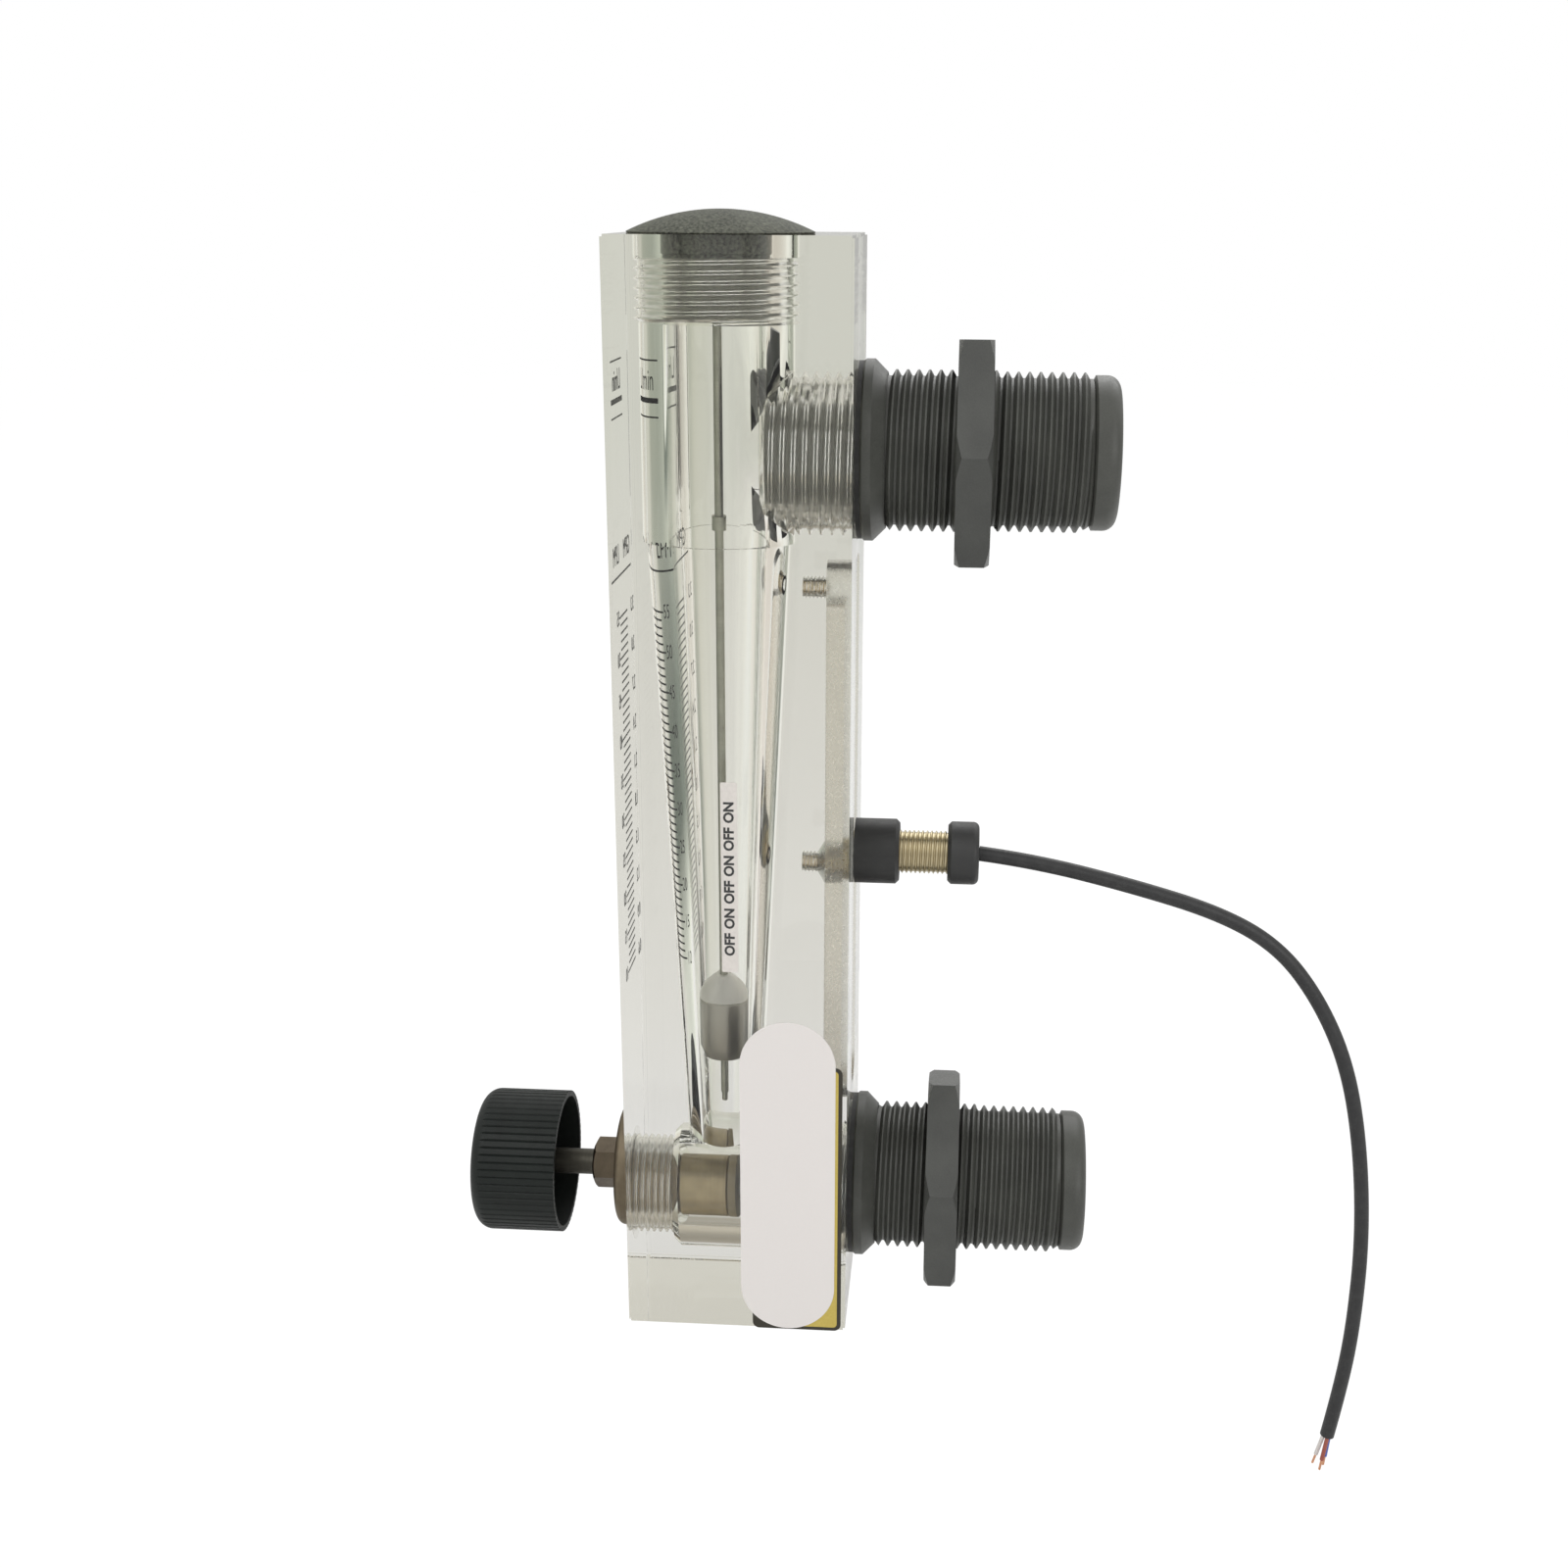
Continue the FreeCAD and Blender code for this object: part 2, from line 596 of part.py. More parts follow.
def edge_at(shape, y):
    """Find the round edge of a shape that lies at one place along Y."""
    for index, edge in enumerate(shape.Edges):
        box = edge.BoundBox
        if abs(box.YMin - y) < SAME_PLACE and abs(box.YMax - y) < SAME_PLACE:
            return index
    raise ValueError("no edge lies there")


# Knob

def make_knob():
    """Make the hollow fluted knob with its hub."""
    front = FRONT_Y - KNOB_FROM_FACE - KNOB_LENGTH
    rim = FRONT_Y - KNOB_FROM_FACE
    hub = rim - KNOB_HUB_RECESS
    floor = front + KNOB_FRONT
    inner = KNOB_R - KNOB_SKIRT
    middle = round_middle((KNOB_R - KNOB_ROUND, front + KNOB_ROUND), KNOB_ROUND, -45)
    profile = (Profile(0, front).line(KNOB_R - KNOB_ROUND, front)
               .arc(middle, KNOB_R, front + KNOB_ROUND).line(KNOB_R, rim).line(inner, rim)
               .line(inner, floor).line(KNOB_HUB_R, floor).line(KNOB_HUB_R, hub).line(0, hub))
    knob = profile.turned().cut(knob_flutes(front, rim))
    return lay_back(knob).cut(knob_bore(hub))


def knob_flutes(front, rim):
    """Give the ring of small grooves round the knob."""
    wide = math.pi * KNOB_R / KNOB_FLUTES * KNOB_FLUTE_SHARE
    tip = KNOB_R - KNOB_FLUTE_DEPTH
    outside = KNOB_R + KNOB_FLUTE_DEPTH
    spread = wide * (outside - tip) / (KNOB_R - tip) / 2
    corners = [Vector(tip, 0, front), Vector(outside, spread, front), Vector(outside, -spread, front)]
    groove = Part.Face(Part.makePolygon(corners + corners[:1])).extrude(Vector(0, 0, rim - front))
    grooves = []
    for index in range(KNOB_FLUTES):
        turned = groove.copy()
        turned.rotate(Vector(0, 0, 0), Z_AXIS, 360 * index / KNOB_FLUTES)
        grooves.append(turned)
    return Part.makeCompound(grooves)


def knob_bore(hub):
    """Give the hub's hole, flat on one side like the stem's end."""
    start = hub - KNOB_BORE_DEPTH - FIT_PLAY
    hole = rod_y(STEM_R + FIT_PLAY, start, hub)
    flat = Part.makeBox(3 * STEM_R, hub - start, STEM_R,
                        Vector(-1.5 * STEM_R, start, STEM_FLAT + FIT_PLAY))
    return hole.cut(flat)


# Alarm sensor

def make_channel_strip():
    """Make the pale strip that lies in the channel below the spare insert."""
    half = CHANNEL_WIDTH / 2 - STRIP_PLAY
    low = BASE_Z + STRIP_LOW
    high = TOP_Z - STRIP_BELOW_TOP
    front = CHANNEL_Y + STRIP_GAP
    back = front + STRIP_THICKNESS
    centre = low + half
    strip = Part.makeBox(2 * half, STRIP_THICKNESS, high - centre, Vector(-half, front, centre))
    strip = strip.fuse(rod_y(half, front, back, z=centre)).removeSplitter()
    corners = []
    for edge in strip.Edges:
        box = edge.BoundBox
        if abs(box.ZMin - high) < SAME_PLACE < box.YLength:
            corners.append(edge)
    strip = strip.makeFillet(STRIP_CORNER, corners)
    return strip.cut(rod_y(SENSOR_R + SENSOR_PLAY, front, back, z=SENSOR_Z))


def make_insert(height):
    """Make a brass insert, set in the floor of the back channel."""
    low = CHANNEL_Y - INSERT_LENGTH
    return lay_back(ring(INSERT_BORE_R, INSERT_R, low, CHANNEL_Y), z=height)


def make_sensor_barrel():
    """Make the sensor's barrel, with its stud and the pocket for the switch."""
    seat = CHANNEL_Y + SENSOR_SEAT_GAP
    end = seat + SENSOR_LENGTH
    pocket = BACK_Y + SENSOR_POCKET_LOW
    profile = (Profile(0, seat - SENSOR_STUD_LENGTH).line(SENSOR_STUD_R, seat - SENSOR_STUD_LENGTH)
               .line(SENSOR_STUD_R, seat).line(SENSOR_R, seat).line(SENSOR_R, end)
               .line(SENSOR_POCKET_R, end).line(SENSOR_POCKET_R, pocket).line(0, pocket))
    return lay_back(profile.turned(), z=SENSOR_Z)


def make_sensor_nut():
    """Make the round black nut that clamps the sensor against the block."""
    end = BACK_Y + SENSOR_NUT_LENGTH
    inner = SENSOR_R + SENSOR_PLAY
    profile = (Profile(inner, BACK_Y).line(SENSOR_NUT_R, BACK_Y)
               .line(SENSOR_NUT_R, end - SENSOR_NUT_EDGE)
               .line(SENSOR_NUT_R - SENSOR_NUT_EDGE, end).line(inner, end))
    return lay_back(profile.turned(), z=SENSOR_Z)


def make_sensor_cap():
    """Make the black end cap that the cable leaves."""
    low = CAP_END_Y - SENSOR_CAP_LENGTH
    shoulder = low + SENSOR_CAP_OVERLAP
    inner = SENSOR_R + SENSOR_PLAY
    edge = SENSOR_CAP_ROUND
    middle = round_middle((SENSOR_CAP_R - edge, CAP_END_Y - edge), edge, 45)
    profile = (Profile(inner, low).line(SENSOR_CAP_R - SENSOR_NUT_EDGE, low)
               .line(SENSOR_CAP_R, low + SENSOR_NUT_EDGE).line(SENSOR_CAP_R, CAP_END_Y - edge)
               .arc(middle, SENSOR_CAP_R - edge, CAP_END_Y).line(0, CAP_END_Y).line(0, shoulder)
               .line(inner, shoulder))
    return lay_back(profile.turned(), z=SENSOR_Z)


def make_reed_switch():
    """Make the glass reed switch with its two short leads."""
    low = BACK_Y + SENSOR_POCKET_LOW + FIT_PLAY
    glass = low + REED_LEAD
    top = glass + REED_LENGTH
    profile = (Profile(0, low).line(REED_LEAD_R, low).line(REED_LEAD_R, glass)
               .line(REED_R, glass + REED_R).line(REED_R, top - REED_R).line(REED_LEAD_R, top)
               .line(REED_LEAD_R, top + REED_LEAD).line(0, top + REED_LEAD))
    return lay_back(profile.turned(), z=SENSOR_Z)


def make_switch_potting():
    """Make the resin that holds the reed switch in the barrel."""
    low = BACK_Y + SENSOR_POCKET_LOW
    high = CHANNEL_Y + SENSOR_SEAT_GAP + SENSOR_LENGTH - POTTING_SHORT
    fill = rod_y(SENSOR_POCKET_R - FIT_PLAY, low, high, z=SENSOR_Z)
    return fill.cut(make_reed_switch())


# Cable

def bend_path(points):
    """Join straight runs by tangent arcs as large as the runs allow, and list the radii."""
    edges = []
    radii = []
    start = points[0]
    for before, corner, after in zip(points, points[1:], points[2:]):
        back = (before - corner).normalize()
        ahead = (after - corner).normalize()
        turn = math.pi - back.getAngle(ahead)
        shorter = min(before.distanceToPoint(corner), after.distanceToPoint(corner))
        setback = CABLE_BEND_SHARE * shorter
        radius = setback / math.tan(turn / 2)
        radii.append(radius)
        enter = corner + back * setback
        leave = corner + ahead * setback
        inward = (back + ahead).normalize()
        middle = corner + inward * (math.hypot(radius, setback) - radius)
        edges.append(Part.LineSegment(start, enter).toShape())
        edges.append(Part.Arc(enter, middle, leave).toShape())
        start = leave
    edges.append(Part.LineSegment(start, points[-1]).toShape())
    return Part.Wire(edges), radii


def cable_points():
    """Give the cable's route from the sensor's cap, in the plane of the ports."""
    return [Vector(0, CAP_END_Y + out, SENSOR_Z + up) for out, up in CABLE_ROUTE]


def make_cable():
    """Make the cable as a tube along its route."""
    points = cable_points()
    path, radii = bend_path(points)
    print("cable radii", [round(radius, 1) for radius in radii])
    circle = Part.Wire(Part.makeCircle(CABLE_R, points[0], points[1] - points[0]))
    cable = path.makePipeShell([circle], True, True)
    section = math.pi * CABLE_R ** 2 * path.Length
    print("cable length", round(path.Length, 2), "volume share", round(cable.Volume / section, 4))
    return cable


def make_lead(index):
    """Make one bare lead at the cable's end, leaning a little outwards."""
    points = cable_points()
    along = (points[-1] - points[-2]).normalize()
    across = X_AXIS.cross(along)
    turn = 2 * math.pi * index / len(LEAD_NAMES)
    aside = X_AXIS * math.cos(turn) + across * math.sin(turn)
    lean = math.radians(LEAD_SPREAD)
    direction = along * math.cos(lean) + aside * math.sin(lean)
    start = points[-1] + aside * LEAD_RING + along * (LEAD_R * math.sin(lean))
    return Part.makeCylinder(LEAD_R, LEAD_LENGTH, start, direction)


def all_parts():
    """Give every node's name and solid."""
    block = make_block()
    parts = {
        "block_left": make_block_half(block, -1),
        "block_right": make_block_half(block, 1),
        "top_plug": make_top_plug(),
        "top_plug_seal": make_top_plug_seal(),
        "guide_rod": make_guide_rod(),
        "rod_top_stop": make_rod_top_stop(),
        "rod_low_stop": make_rod_low_stop(),
        "float_body": make_float_body(),
        "float_magnet": make_float_magnet(),
        "float_cap": make_float_cap(),
        "outlet_nipple": make_nipple(OUTLET_Z),
        "outlet_seal": make_port_seal(OUTLET_Z),
        "outlet_lock_nut": make_lock_nut(OUTLET_Z, OUTLET_NUT_OFFSET, OUTLET_NUT_ANGLE),
        "inlet_nipple": make_nipple(0),
        "inlet_seal": make_port_seal(0),
        "inlet_lock_nut": make_lock_nut(0, INLET_NUT_OFFSET, INLET_NUT_ANGLE),
        "valve_bonnet": make_bonnet(),
        "bonnet_seal": make_bonnet_seal(),
        "gland_nut": make_gland_nut(),
        "stem_packing": make_stem_packing(),
        "valve_stem": make_stem(),
        "valve_disc": make_valve_disc(),
        "disc_seal": make_disc_seal(),
        "seal_screw": make_seal_screw(),
        "swivel_pin": make_swivel_pin(),
        "control_knob": make_knob(),
        "channel_strip": make_channel_strip(),
        "insert_lower": make_insert(SENSOR_Z),
        "insert_upper": make_insert(SPARE_Z),
        "sensor_barrel": make_sensor_barrel(),
        "sensor_nut": make_sensor_nut(),
        "sensor_cap": make_sensor_cap(),
        "reed_switch": make_reed_switch(),
        "switch_potting": make_switch_potting(),
        "sensor_cable": make_cable(),
    }
    for index, name in enumerate(LEAD_NAMES):
        parts[name] = make_lead(index)
    return parts


def main():
    """Write one STEP file for each node."""
    os.makedirs("parts", exist_ok=True)
    for name, shape in all_parts().items():
        solids = shape.Solids
        if not shape.isValid() or len(solids) != 1:
            print("check", name, "valid", shape.isValid(), "solids", len(solids))
        solids[0].exportStep(os.path.join("parts", name + ".step"))
        box = shape.BoundBox
        print("%-16s volume %9.1f  y %7.2f %7.2f  z %7.2f %7.2f"
              % (name, shape.Volume, box.YMin, box.YMax, box.ZMin, box.ZMax))


main()
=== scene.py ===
"""Rotameter in a clear acrylic block: the visual model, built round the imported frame.

The classes hold their sizes in millimetres, and meshes are made in metres. X is across the
block, +Y points to the back, where the pipes join, and +Z is up.
"""
import logging
import math
from dataclasses import dataclass
from enum import Enum
from typing import Iterable, Optional, Sequence, Union

import bmesh
import bpy
import numpy as np
from mathutils import Matrix, Vector


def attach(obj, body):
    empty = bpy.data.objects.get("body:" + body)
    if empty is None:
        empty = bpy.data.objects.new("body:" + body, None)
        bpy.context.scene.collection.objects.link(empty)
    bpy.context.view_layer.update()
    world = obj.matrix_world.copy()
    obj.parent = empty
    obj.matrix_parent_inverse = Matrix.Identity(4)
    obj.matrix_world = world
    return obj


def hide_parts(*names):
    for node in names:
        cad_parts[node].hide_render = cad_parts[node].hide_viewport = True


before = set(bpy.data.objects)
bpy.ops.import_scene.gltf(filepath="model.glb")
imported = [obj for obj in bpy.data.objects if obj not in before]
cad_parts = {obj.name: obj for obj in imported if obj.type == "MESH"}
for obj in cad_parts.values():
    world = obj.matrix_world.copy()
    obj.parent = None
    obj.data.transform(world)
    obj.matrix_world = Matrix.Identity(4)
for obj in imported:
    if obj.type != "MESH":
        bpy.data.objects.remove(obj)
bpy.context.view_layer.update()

LOG = logging.getLogger("rotameter")
MM = 0.001
WELD = 1e-6
SHARP_DEGREES = 35.0
CORNER_FACES = 2
LETTER_SCALE = 1.35  # the font's size over its capitals' height
MIDDLE = (0.3, 0.7)  # where most of a noise's numbers lie
SMALL_COLUMNS = 64

Colour = tuple[float, float, float]
Point = tuple[float, float, float]
Pair = tuple[float, float]


class Lie(Enum):
    """How a turned piece's own axis lies in the frame."""

    UP = "along Z"
    BACK = "along Y"


class Body(Enum):
    """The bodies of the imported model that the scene's own pieces ride on."""

    METER = "meter"
    FLOAT = "float"


@dataclass(frozen=True)
class Places:
    """Where the main features lie, in millimetres."""

    back_y: float = -36.8
    front_y: float = -86.8
    base_z: float = -28.0
    top_z: float = 214.0
    half_width: float = 24.0
    bore_y: float = -65.8
    outlet_z: float = 170.0
    step_z: float = 151.5
    sensor_z: float = 80.6
    spare_z: float = 142.0
    channel_y: float = -42.8
    cap_end_y: float = -9.0


AT = Places()
BORE = (0.0, AT.bore_y)


# Shader building

class Socket:
    """One output of a shader node, with arithmetic that adds Math nodes."""

    def __init__(self, shader: "Shader", link: Optional[bpy.types.NodeSocket]) -> None:
        """Keep the shader and the output."""
        self.shader = shader
        self.link = link

    def _math(self, operation: str, first: "Value", second: "Value") -> "Socket":
        """Add a Math node on two values."""
        return self.shader.add("ShaderNodeMath", {"operation": operation}, {0: first, 1: second})

    def __add__(self, other: "Value") -> "Socket":
        """Add a value."""
        return self._math("ADD", self, other)

    def __radd__(self, other: "Value") -> "Socket":
        """Be added to a value."""
        return self._math("ADD", other, self)

    def __sub__(self, other: "Value") -> "Socket":
        """Take a value away."""
        return self._math("SUBTRACT", self, other)

    def __rsub__(self, other: "Value") -> "Socket":
        """Be taken away from a value."""
        return self._math("SUBTRACT", other, self)

    def __mul__(self, other: "Value") -> "Socket":
        """Multiply by a value."""
        return self._math("MULTIPLY", self, other)

    def __rmul__(self, other: "Value") -> "Socket":
        """Multiply a value."""
        return self._math("MULTIPLY", other, self)


Value = Union[Socket, float]
Feed = Union[Socket, float, Sequence[float]]


class Shader:
    """The node tree of one material or world."""

    def __init__(self, tree: bpy.types.NodeTree) -> None:
        """Start with an empty tree."""
        self.tree = tree
        tree.nodes.clear()

    def add(self, kind: str, settings: Optional[dict] = None, feeds: Optional[dict] = None,
            output: Union[int, str] = 0) -> Socket:
        """Add a node.

        Args:
            kind: the node's type.
            settings: its own properties; "stops" gives a colour ramp's (place, colour) pairs.
            feeds: a value or a socket for each input, by its name or number.
            output: the output that is wanted, by its name or number.

        Returns:
            The wanted output.
        """
        node = self.tree.nodes.new(kind)
        for key, value in (settings or {}).items():
            if key == "stops":
                self._set_stops(node.color_ramp, value)
            else:
                setattr(node, key, value)
        for key, value in (feeds or {}).items():
            if isinstance(value, Socket):
                self.tree.links.new(value.link, node.inputs[key])
            else:
                node.inputs[key].default_value = value
        return Socket(self, node.outputs[output] if node.outputs else None)

    @staticmethod
    def _set_stops(ramp: bpy.types.ColorRamp, stops: Sequence[tuple[float, Colour]]) -> None:
        """Give a colour ramp its stops.

        Args:
            ramp: the ramp.
            stops: its (place, colour) pairs.
        """
        while len(ramp.elements) < len(stops):
            ramp.elements.new(1.0)
        for element, (place, colour) in zip(ramp.elements, stops):
            element.position = place
            element.color = (*colour, 1.0)

    def place(self) -> Socket:
        """Give the point on the surface, in metres of the frame."""
        return self.add("ShaderNodeTexCoord", output="Object")

    def vector(self, operation: str, first: Feed, second: Feed) -> Socket:
        """Work on two vectors or colours, part by part."""
        return self.add("ShaderNodeVectorMath", {"operation": operation}, {0: first, 1: second})

    def part(self, vector: Socket, axis: str) -> Socket:
        """Give one part of a vector: X, Y or Z."""
        return self.add("ShaderNodeSeparateXYZ", {}, {0: vector}, axis)

    def ray(self, kind: str) -> Socket:
        """Tell whether the ray is a Camera, Glossy or Transmission one."""
        return self.add("ShaderNodeLightPath", output="Is %s Ray" % kind)

    def ramp(self, value: Socket, stops: Sequence[tuple[float, Colour]]) -> Socket:
        """Colour a number from 0 to 1 by a ramp."""
        return self.add("ShaderNodeValToRGB", {"stops": stops}, {0: value}, "Color")

    def noise(self, vector: Socket, scale: float, detail: float = 3.0,
              rough: float = 0.55) -> Socket:
        """Add a noise texture and give its number."""
        return self.add("ShaderNodeTexNoise", {}, {"Vector": vector, "Scale": scale,
                                                   "Detail": detail, "Roughness": rough})

    def ease(self, value: Socket, low: float, high: float, out_low: float = 0.0,
             out_high: float = 1.0) -> Socket:
        """Map a number from one range to another, held at the ends.

        Args:
            value: the number.
            low: where the first range starts.
            high: where it ends.
            out_low: where the second range starts.
            out_high: where it ends.

        Returns:
            The mapped number.
        """
        return self.add("ShaderNodeMapRange", {"clamp": True},
                        {"Value": value, "From Min": low, "From Max": high,
                         "To Min": out_low, "To Max": out_high})

    def spread(self, noise: Socket, middle: float, down: float, up: float) -> Socket:
        """Map most of a noise to a range about a middle."""
        return self.ease(noise, *MIDDLE, middle + down, middle + up)

    def blend(self, factor: Value, first: Feed, second: Feed) -> Socket:
        """Mix two colours.

        Args:
            factor: how much of the second there is, from 0 to 1.
            first: the first colour.
            second: the second colour.

        Returns:
            The mixed colour.
        """
        node = self.tree.nodes.new("ShaderNodeMix")
        node.data_type = "RGBA"
        for name, feed in (("Factor_Float", factor), ("A_Color", first), ("B_Color", second)):
            socket = next(s for s in node.inputs if s.identifier == name)
            if isinstance(feed, Socket):
                self.tree.links.new(feed.link, socket)
            elif isinstance(feed, (int, float)):
                socket.default_value = feed
            else:
                socket.default_value = (*feed, 1.0)
        return Socket(self, next(s for s in node.outputs if s.identifier == "Result_Color"))

    def bump(self, height: Socket, depth_mm: float) -> Socket:
        """Turn a height from 0 to 1 into a normal."""
        return self.add("ShaderNodeBump", {}, {"Height": height, "Distance": depth_mm * MM,
                                               "Strength": 1.0})

    def principled(self, feeds: dict) -> None:
        """Add the surface shader and the material's output."""
        shade = self.add("ShaderNodeBsdfPrincipled", {}, feeds)
        self.add("ShaderNodeOutputMaterial", {}, {"Surface": shade})


def new_material(name: str) -> tuple[bpy.types.Material, Shader]:
    """Make an empty material.

    Args:
        name: the material's name.

    Returns:
        The material and its shader.
    """
    material = bpy.data.materials.new(name)
    material.use_nodes = True
    return material, Shader(material.node_tree)


# Finishes

@dataclass(frozen=True)
class Finish:
    """A finish, which is one material wherever it is used."""

    name: str

    def material(self) -> bpy.types.Material:
        """Give the material, made where it is first used.

        Returns:
            The material.
        """
        material = bpy.data.materials.get(self.name)
        if material is None:
            material, shader = new_material(self.name)
            self.feed(shader, shader.place())
        return material

    def feed(self, s: Shader, place: Socket) -> None:
        """Feed the surface; each kind of finish has its own way."""
        raise NotImplementedError(self.name)


@dataclass(frozen=True)
class Moulded(Finish):
    """Injection moulded or turned plastic with a fine matt grain."""

    colour: Colour
    pale: Colour
    rough: float = 0.5
    grain_mm: float = 0.35
    grain_depth_mm: float = 0.02
    speckle: float = 0.35
    gloss: float = 0.45
    grain_span: Pair = (0.3, 0.75)
    cloud_scale: float = 90.0
    rub_scale: float = 320.0
    rub_span: Pair = (0.52, 0.75)
    rub_polish: float = 0.08
    rough_spread: Pair = (-0.06, 0.08)

    def feed(self, s: Shader, place: Socket) -> None:
        """Feed mottled colour, fine grain and rubbed patches.

        Args:
            s: the material's shader.
            place: the point on the surface.
        """
        grain = s.noise(place, 1.0 / (self.grain_mm * MM), detail=2.0, rough=0.6)
        cloud = s.noise(place, self.cloud_scale, detail=4.0)
        rub = s.ease(s.noise(place, self.rub_scale, detail=5.0, rough=0.65), *self.rub_span)
        tone = s.ease(grain, *self.grain_span) * self.speckle
        tone += s.ease(cloud, *MIDDLE) * (1 - self.speckle)
        rough = s.spread(grain, self.rough, *self.rough_spread) - rub * self.rub_polish
        s.principled({
            "Base Color": s.blend(tone, self.colour, self.pale),
            "Roughness": rough,
            "Normal": s.bump(grain, self.grain_depth_mm),
            "Specular IOR Level": self.gloss,
        })


@dataclass(frozen=True)
class Turned(Finish):
    """Metal turned on a lathe, with rings round its axis and a dull patina."""

    bright: Colour
    dark: Colour
    lie: Lie
    centre: Pair = (0.0, 0.0)
    rough: float = 0.28
    ring_mm: float = 0.16
    ring_depth_mm: float = 0.004
    patina: float = 0.5
    patina_scale: float = 260.0
    patina_span: Pair = (0.5, 0.8)
    patina_reach: float = 0.3
    worn_rough: float = 0.1
    ring_span: Pair = (0.35, 0.7)
    ring_tone: float = 0.25
    rough_spread: Pair = (-0.05, 0.1)

    def feed(self, s: Shader, place: Socket) -> None:
        """Feed turning rings, patina patches and handling marks.

        Args:
            s: the material's shader.
            place: the point on the surface.
        """
        first, second = (-value * MM for value in self.centre)
        upright = self.lie is Lie.UP
        moved = s.vector("ADD", place, (first, second, 0.0) if upright else (first, 0.0, second))
        flat = s.vector("MULTIPLY", moved, (1.0, 1.0, 0.0) if upright else (1.0, 0.0, 1.0))
        radius = s.add("ShaderNodeVectorMath", {"operation": "LENGTH"}, {0: flat}, "Value")
        along = s.part(moved, "Z" if upright else "Y")
        rings_at = s.add("ShaderNodeCombineXYZ", {}, {"X": along, "Y": radius, "Z": 0.0})
        rings = s.noise(rings_at, 1.0 / (self.ring_mm * MM), detail=3.0, rough=0.7)
        cloud = s.noise(place, self.patina_scale, detail=5.0, rough=0.6)
        low, high = self.patina_span
        worn = s.ease(cloud, low - self.patina_reach * self.patina, high)
        tone = worn * self.patina + s.ease(rings, *self.ring_span) * self.ring_tone
        rough = s.spread(rings, self.rough, *self.rough_spread) + worn * self.worn_rough
        s.principled({
            "Base Color": s.blend(tone, self.bright, self.dark),
            "Metallic": 1.0,
            "Roughness": rough,
            "Normal": s.bump(rings, self.ring_depth_mm),
        })


@dataclass(frozen=True)
class Soft(Finish):
    """Rubber, cable sheath or lead insulation."""

    colour: Colour
    pale: Colour
    rough: float = 0.6
    skin_depth_mm: float = 0.012
    skin_scale: float = 2500.0
    dust_scale: float = 420.0
    dust_span: Pair = (0.45, 0.8)
    rough_spread: Pair = (-0.08, 0.08)

    def feed(self, s: Shader, place: Socket) -> None:
        """Feed a dusty, slightly uneven skin.

        Args:
            s: the material's shader.
            place: the point on the surface.
        """
        fine = s.noise(place, self.skin_scale, detail=2.0)
        dust = s.ease(s.noise(place, self.dust_scale, detail=5.0, rough=0.7), *self.dust_span)
        s.principled({
            "Base Color": s.blend(dust, self.colour, self.pale),
            "Roughness": s.spread(fine, self.rough, *self.rough_spread),
            "Normal": s.bump(fine, self.skin_depth_mm),
        })


@dataclass(frozen=True)
class Clear(Finish):
    """Clear acrylic or glass, polished, or frosted where a tool has cut it."""

    tint: Colour
    index: float = 1.49
    rough: float = 0.0
    clear: float = 1.0
    mark_mm: float = 0.003
    mark_scale: float = 1900.0
    mark_share: float = 0.3
    haze_scale: float = 60.0
    haze_shade: float = 0.985

    def feed(self, s: Shader, place: Socket) -> None:
        """Feed a faint uneven tint, and tool marks where it is frosted.

        Args:
            s: the material's shader.
            place: the point on the surface.
        """
        haze = s.ease(s.noise(place, self.haze_scale, detail=4.0), *MIDDLE)
        feeds = {
            "Base Color": s.blend(haze, self.tint, tuple(self.haze_shade * c for c in self.tint)),
            "Roughness": self.rough,
            "IOR": self.index,
            "Transmission Weight": self.clear,
        }
        if self.rough:
            marks = s.noise(place, self.mark_scale, detail=3.0, rough=0.6)
            share = self.mark_share
            feeds["Roughness"] = s.ease(marks, *MIDDLE, self.rough * (1 - share),
                                        self.rough * (1 + share))
            feeds["Normal"] = s.bump(marks, self.mark_mm)
        s.principled(feeds)


@dataclass(frozen=True)
class Ink(Finish):
    """Printed ink or a sticker's face."""

    colour: Colour
    pale: Colour
    rough: float = 0.55
    skin_depth_mm: float = 0.004
    ink_scale: float = 1400.0
    ink_span: Pair = (0.35, 0.75)
    rough_spread: Pair = (-0.1, 0.1)

    def feed(self, s: Shader, place: Socket) -> None:
        """Feed slightly uneven ink.

        Args:
            s: the material's shader.
            place: the point on the surface.
        """
        uneven = s.noise(place, self.ink_scale, detail=4.0, rough=0.7)
        s.principled({
            "Base Color": s.blend(s.ease(uneven, *self.ink_span), self.colour, self.pale),
            "Roughness": s.spread(uneven, self.rough, *self.rough_spread),
            "Normal": s.bump(uneven, self.skin_depth_mm),
        })


ACRYLIC = Clear("clear_acrylic", (0.972, 0.976, 0.958))
TAPPED = Clear("tapped_acrylic", (0.94, 0.93, 0.83), rough=0.14, clear=0.87, mark_mm=0.0005)
GREASED = Clear("greased_acrylic", (0.91, 0.855, 0.735), rough=0.2, clear=0.87, mark_mm=0.0005)
MILLED = Clear("milled_acrylic", (0.975, 0.965, 0.93), rough=0.3, clear=0.95)
REED_GLASS = Clear("reed_glass", (0.85, 0.93, 0.9), 1.5)
STRIP_BEIGE = Clear("strip_beige", (0.985, 0.955, 0.9), rough=0.14, clear=0.93, mark_mm=0.0005)
PLUG_GREY = Moulded("plug_grey", (0.015, 0.017, 0.013), (0.2, 0.206, 0.166), 0.65, 0.7, 0.07,
                    0.85, gloss=0.12)
